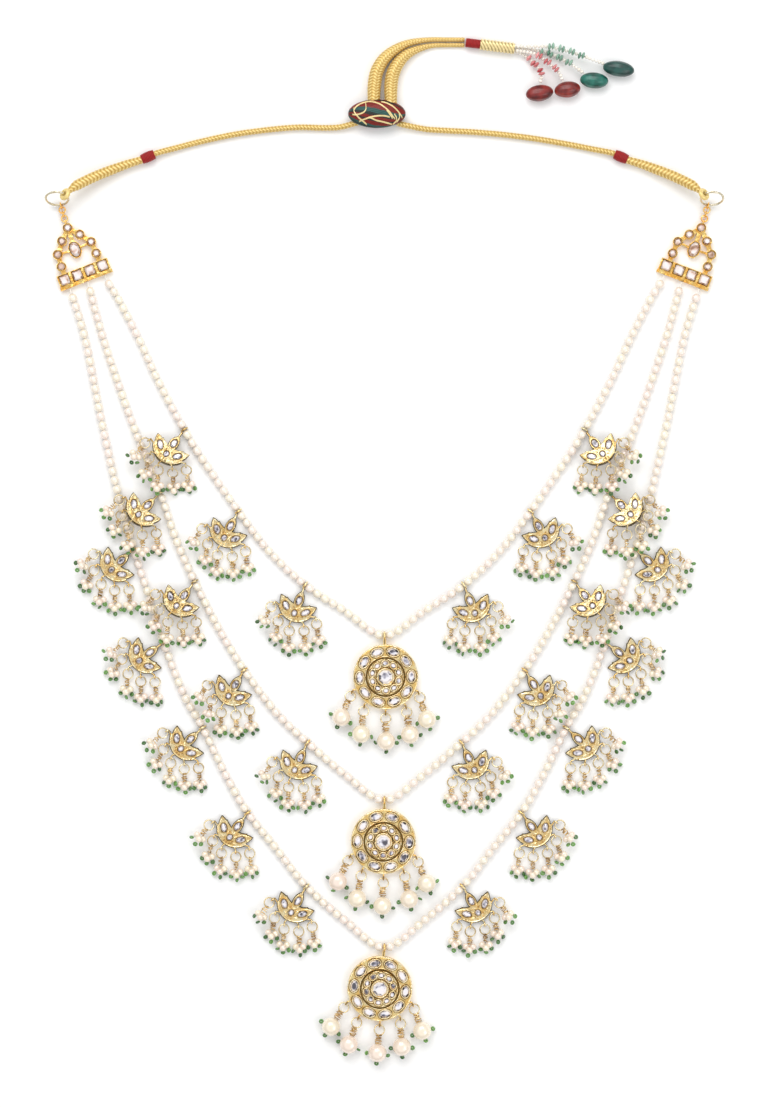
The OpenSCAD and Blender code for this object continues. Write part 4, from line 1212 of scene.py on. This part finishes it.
BEAD_COLOURS = [("maroon bead", (0.07, 0.004, 0.005), (0.26, 0.02, 0.016)),
                ("red bead", (0.11, 0.006, 0.006), (0.32, 0.03, 0.02)),
                ("green bead", (0.003, 0.05, 0.038), (0.015, 0.16, 0.12)),
                ("dark green bead", (0.004, 0.025, 0.022), (0.015, 0.085, 0.07))]
# Length and width of each oval bead, as shares of BEAD_L and BEAD_D
BEAD_SIZES = [(1.05, 1.06), (1.0, 1.04), (1.08, 1.03), (1.2, 1.02)]


def oval_bead(seed):
    """An oval bead of soft stone with flutes along it, a little uneven."""
    own = random.Random(seed)
    n, rings = 40, 22
    flutes, dents = own.uniform(0, 2 * pi), own.uniform(0, 2 * pi)
    points = []
    for i in range(rings + 1):
        t = pi * (0.03 + 0.94 * i / rings)
        for u in around(n):
            share = 1 - 0.02 * (1 + cos(9 * u + flutes + 2 * cos(t)))
            share -= 0.012 * (1 + cos(4 * u + dents + 3 * sin(t)))
            w = BEAD_D / 2 * sin(t) * share
            points.append((-BEAD_L / 2 * cos(t), w * cos(u), w * sin(u)))
    return np.array(points), grid(rings, n) + caps(rings, n)


pile = Pile()
for i, (x, y, turn) in enumerate(BEADS):
    long, wide = BEAD_SIZES[i]
    place = move(x, y, BEAD_D / 2) @ turn_z(turn) @ scale(long, wide, 1)
    pile.add(oval_bead(i), place, 0.5, i)
tassel_beads = pile.make("tassel_oval_beads", [mottled_stone(*c) for c in BEAD_COLOURS],
                         ["tassel_beads"], "maroon_bead")

for side, knots in TAILS.items():
    points = [[knots[0][0], SLIDER_AT[1] + SLIDER_HALF[1] - 1.8, TAIL_Z]]
    points += [[p[0], p[1], TAIL_Z if i == 0 else TAIL_THICK[i + 1]] for i, p in enumerate(knots)]
    points += [[TASSEL_AT[0], knots[-1][1], TAIL_THICK[8]]]
    route = Route(points)
    shape, tones = braid(route, thick_at(TAIL_THICK, route), herringbone(10, 1.3), 0.26, 40, 0.26)
    piece = one_piece(shape, None, tones, "tail_braid_" + side, gold_thread, "tail_cord_" + side,
                      "gold_cord")
    declare(line_of(route, np.eye(4)))


# Metal and stones that stay as the CAD has them

# The last colour is painted shade for the motifs' lower ledge and sides.
MOTIF_BRIGHT, MOTIF_DEEP, MOTIF_WALL_SHADE = (1.0, 0.86, 0.52), (0.90, 0.60, 0.22), (0.06, 0.045, 0.015)
# The tilted motifs catch more of the lamps' light, and a darker gold, painted shade, makes up for it
TILT_SHADE = 0.7
motif_looks = {}


def motif_look(node):
    """The motifs' gold, with painted shade on the lower ledge in a band that leans as the motif does,
    and a darker gold as painted shade where the motif is tilted.
    """
    _, strand, side, number = node.split("_")
    knots, motifs, *_ = STRANDS[strand]
    motif = motifs[int(number) - 1]
    key = (strand, side, number) if motif[2] else "flat"
    if key not in motif_looks:
        m = SIDES[side] @ motif_frame(knots, motif)
        plane = (*m[:3, 2], float(m[:3, 2] @ m[:3, 3]))
        # Tilted motifs take a darker gold as painted shade
        share = TILT_SHADE if motif[2] else 1.0
        bright, deep = (tuple(share * c for c in tone) for tone in (MOTIF_BRIGHT, MOTIF_DEEP))
        motif_looks[key] = gold_look("motif gold", bright, deep, MOTIF_WALL_SHADE, 0.05, BODY_T + 0.05,
                                     plane)
    return motif_looks[key]


FINISHES = [("pendant_stones", clear_stone), ("plate_stones", blush_stone), ("pendant", pendant_gold),
            ("end_ring", silver)]


def finish_for(node):
    if node.startswith("motif"):
        return motif_look(node)
    return next((look for start, look in FINISHES if node.startswith(start)), gold)


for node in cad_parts:
    shown = bpy.data.objects.get(node)
    if shown and not shown.hide_render:
        material = finish_for(node)
        for part in shown.material_slots:
            part.material = material
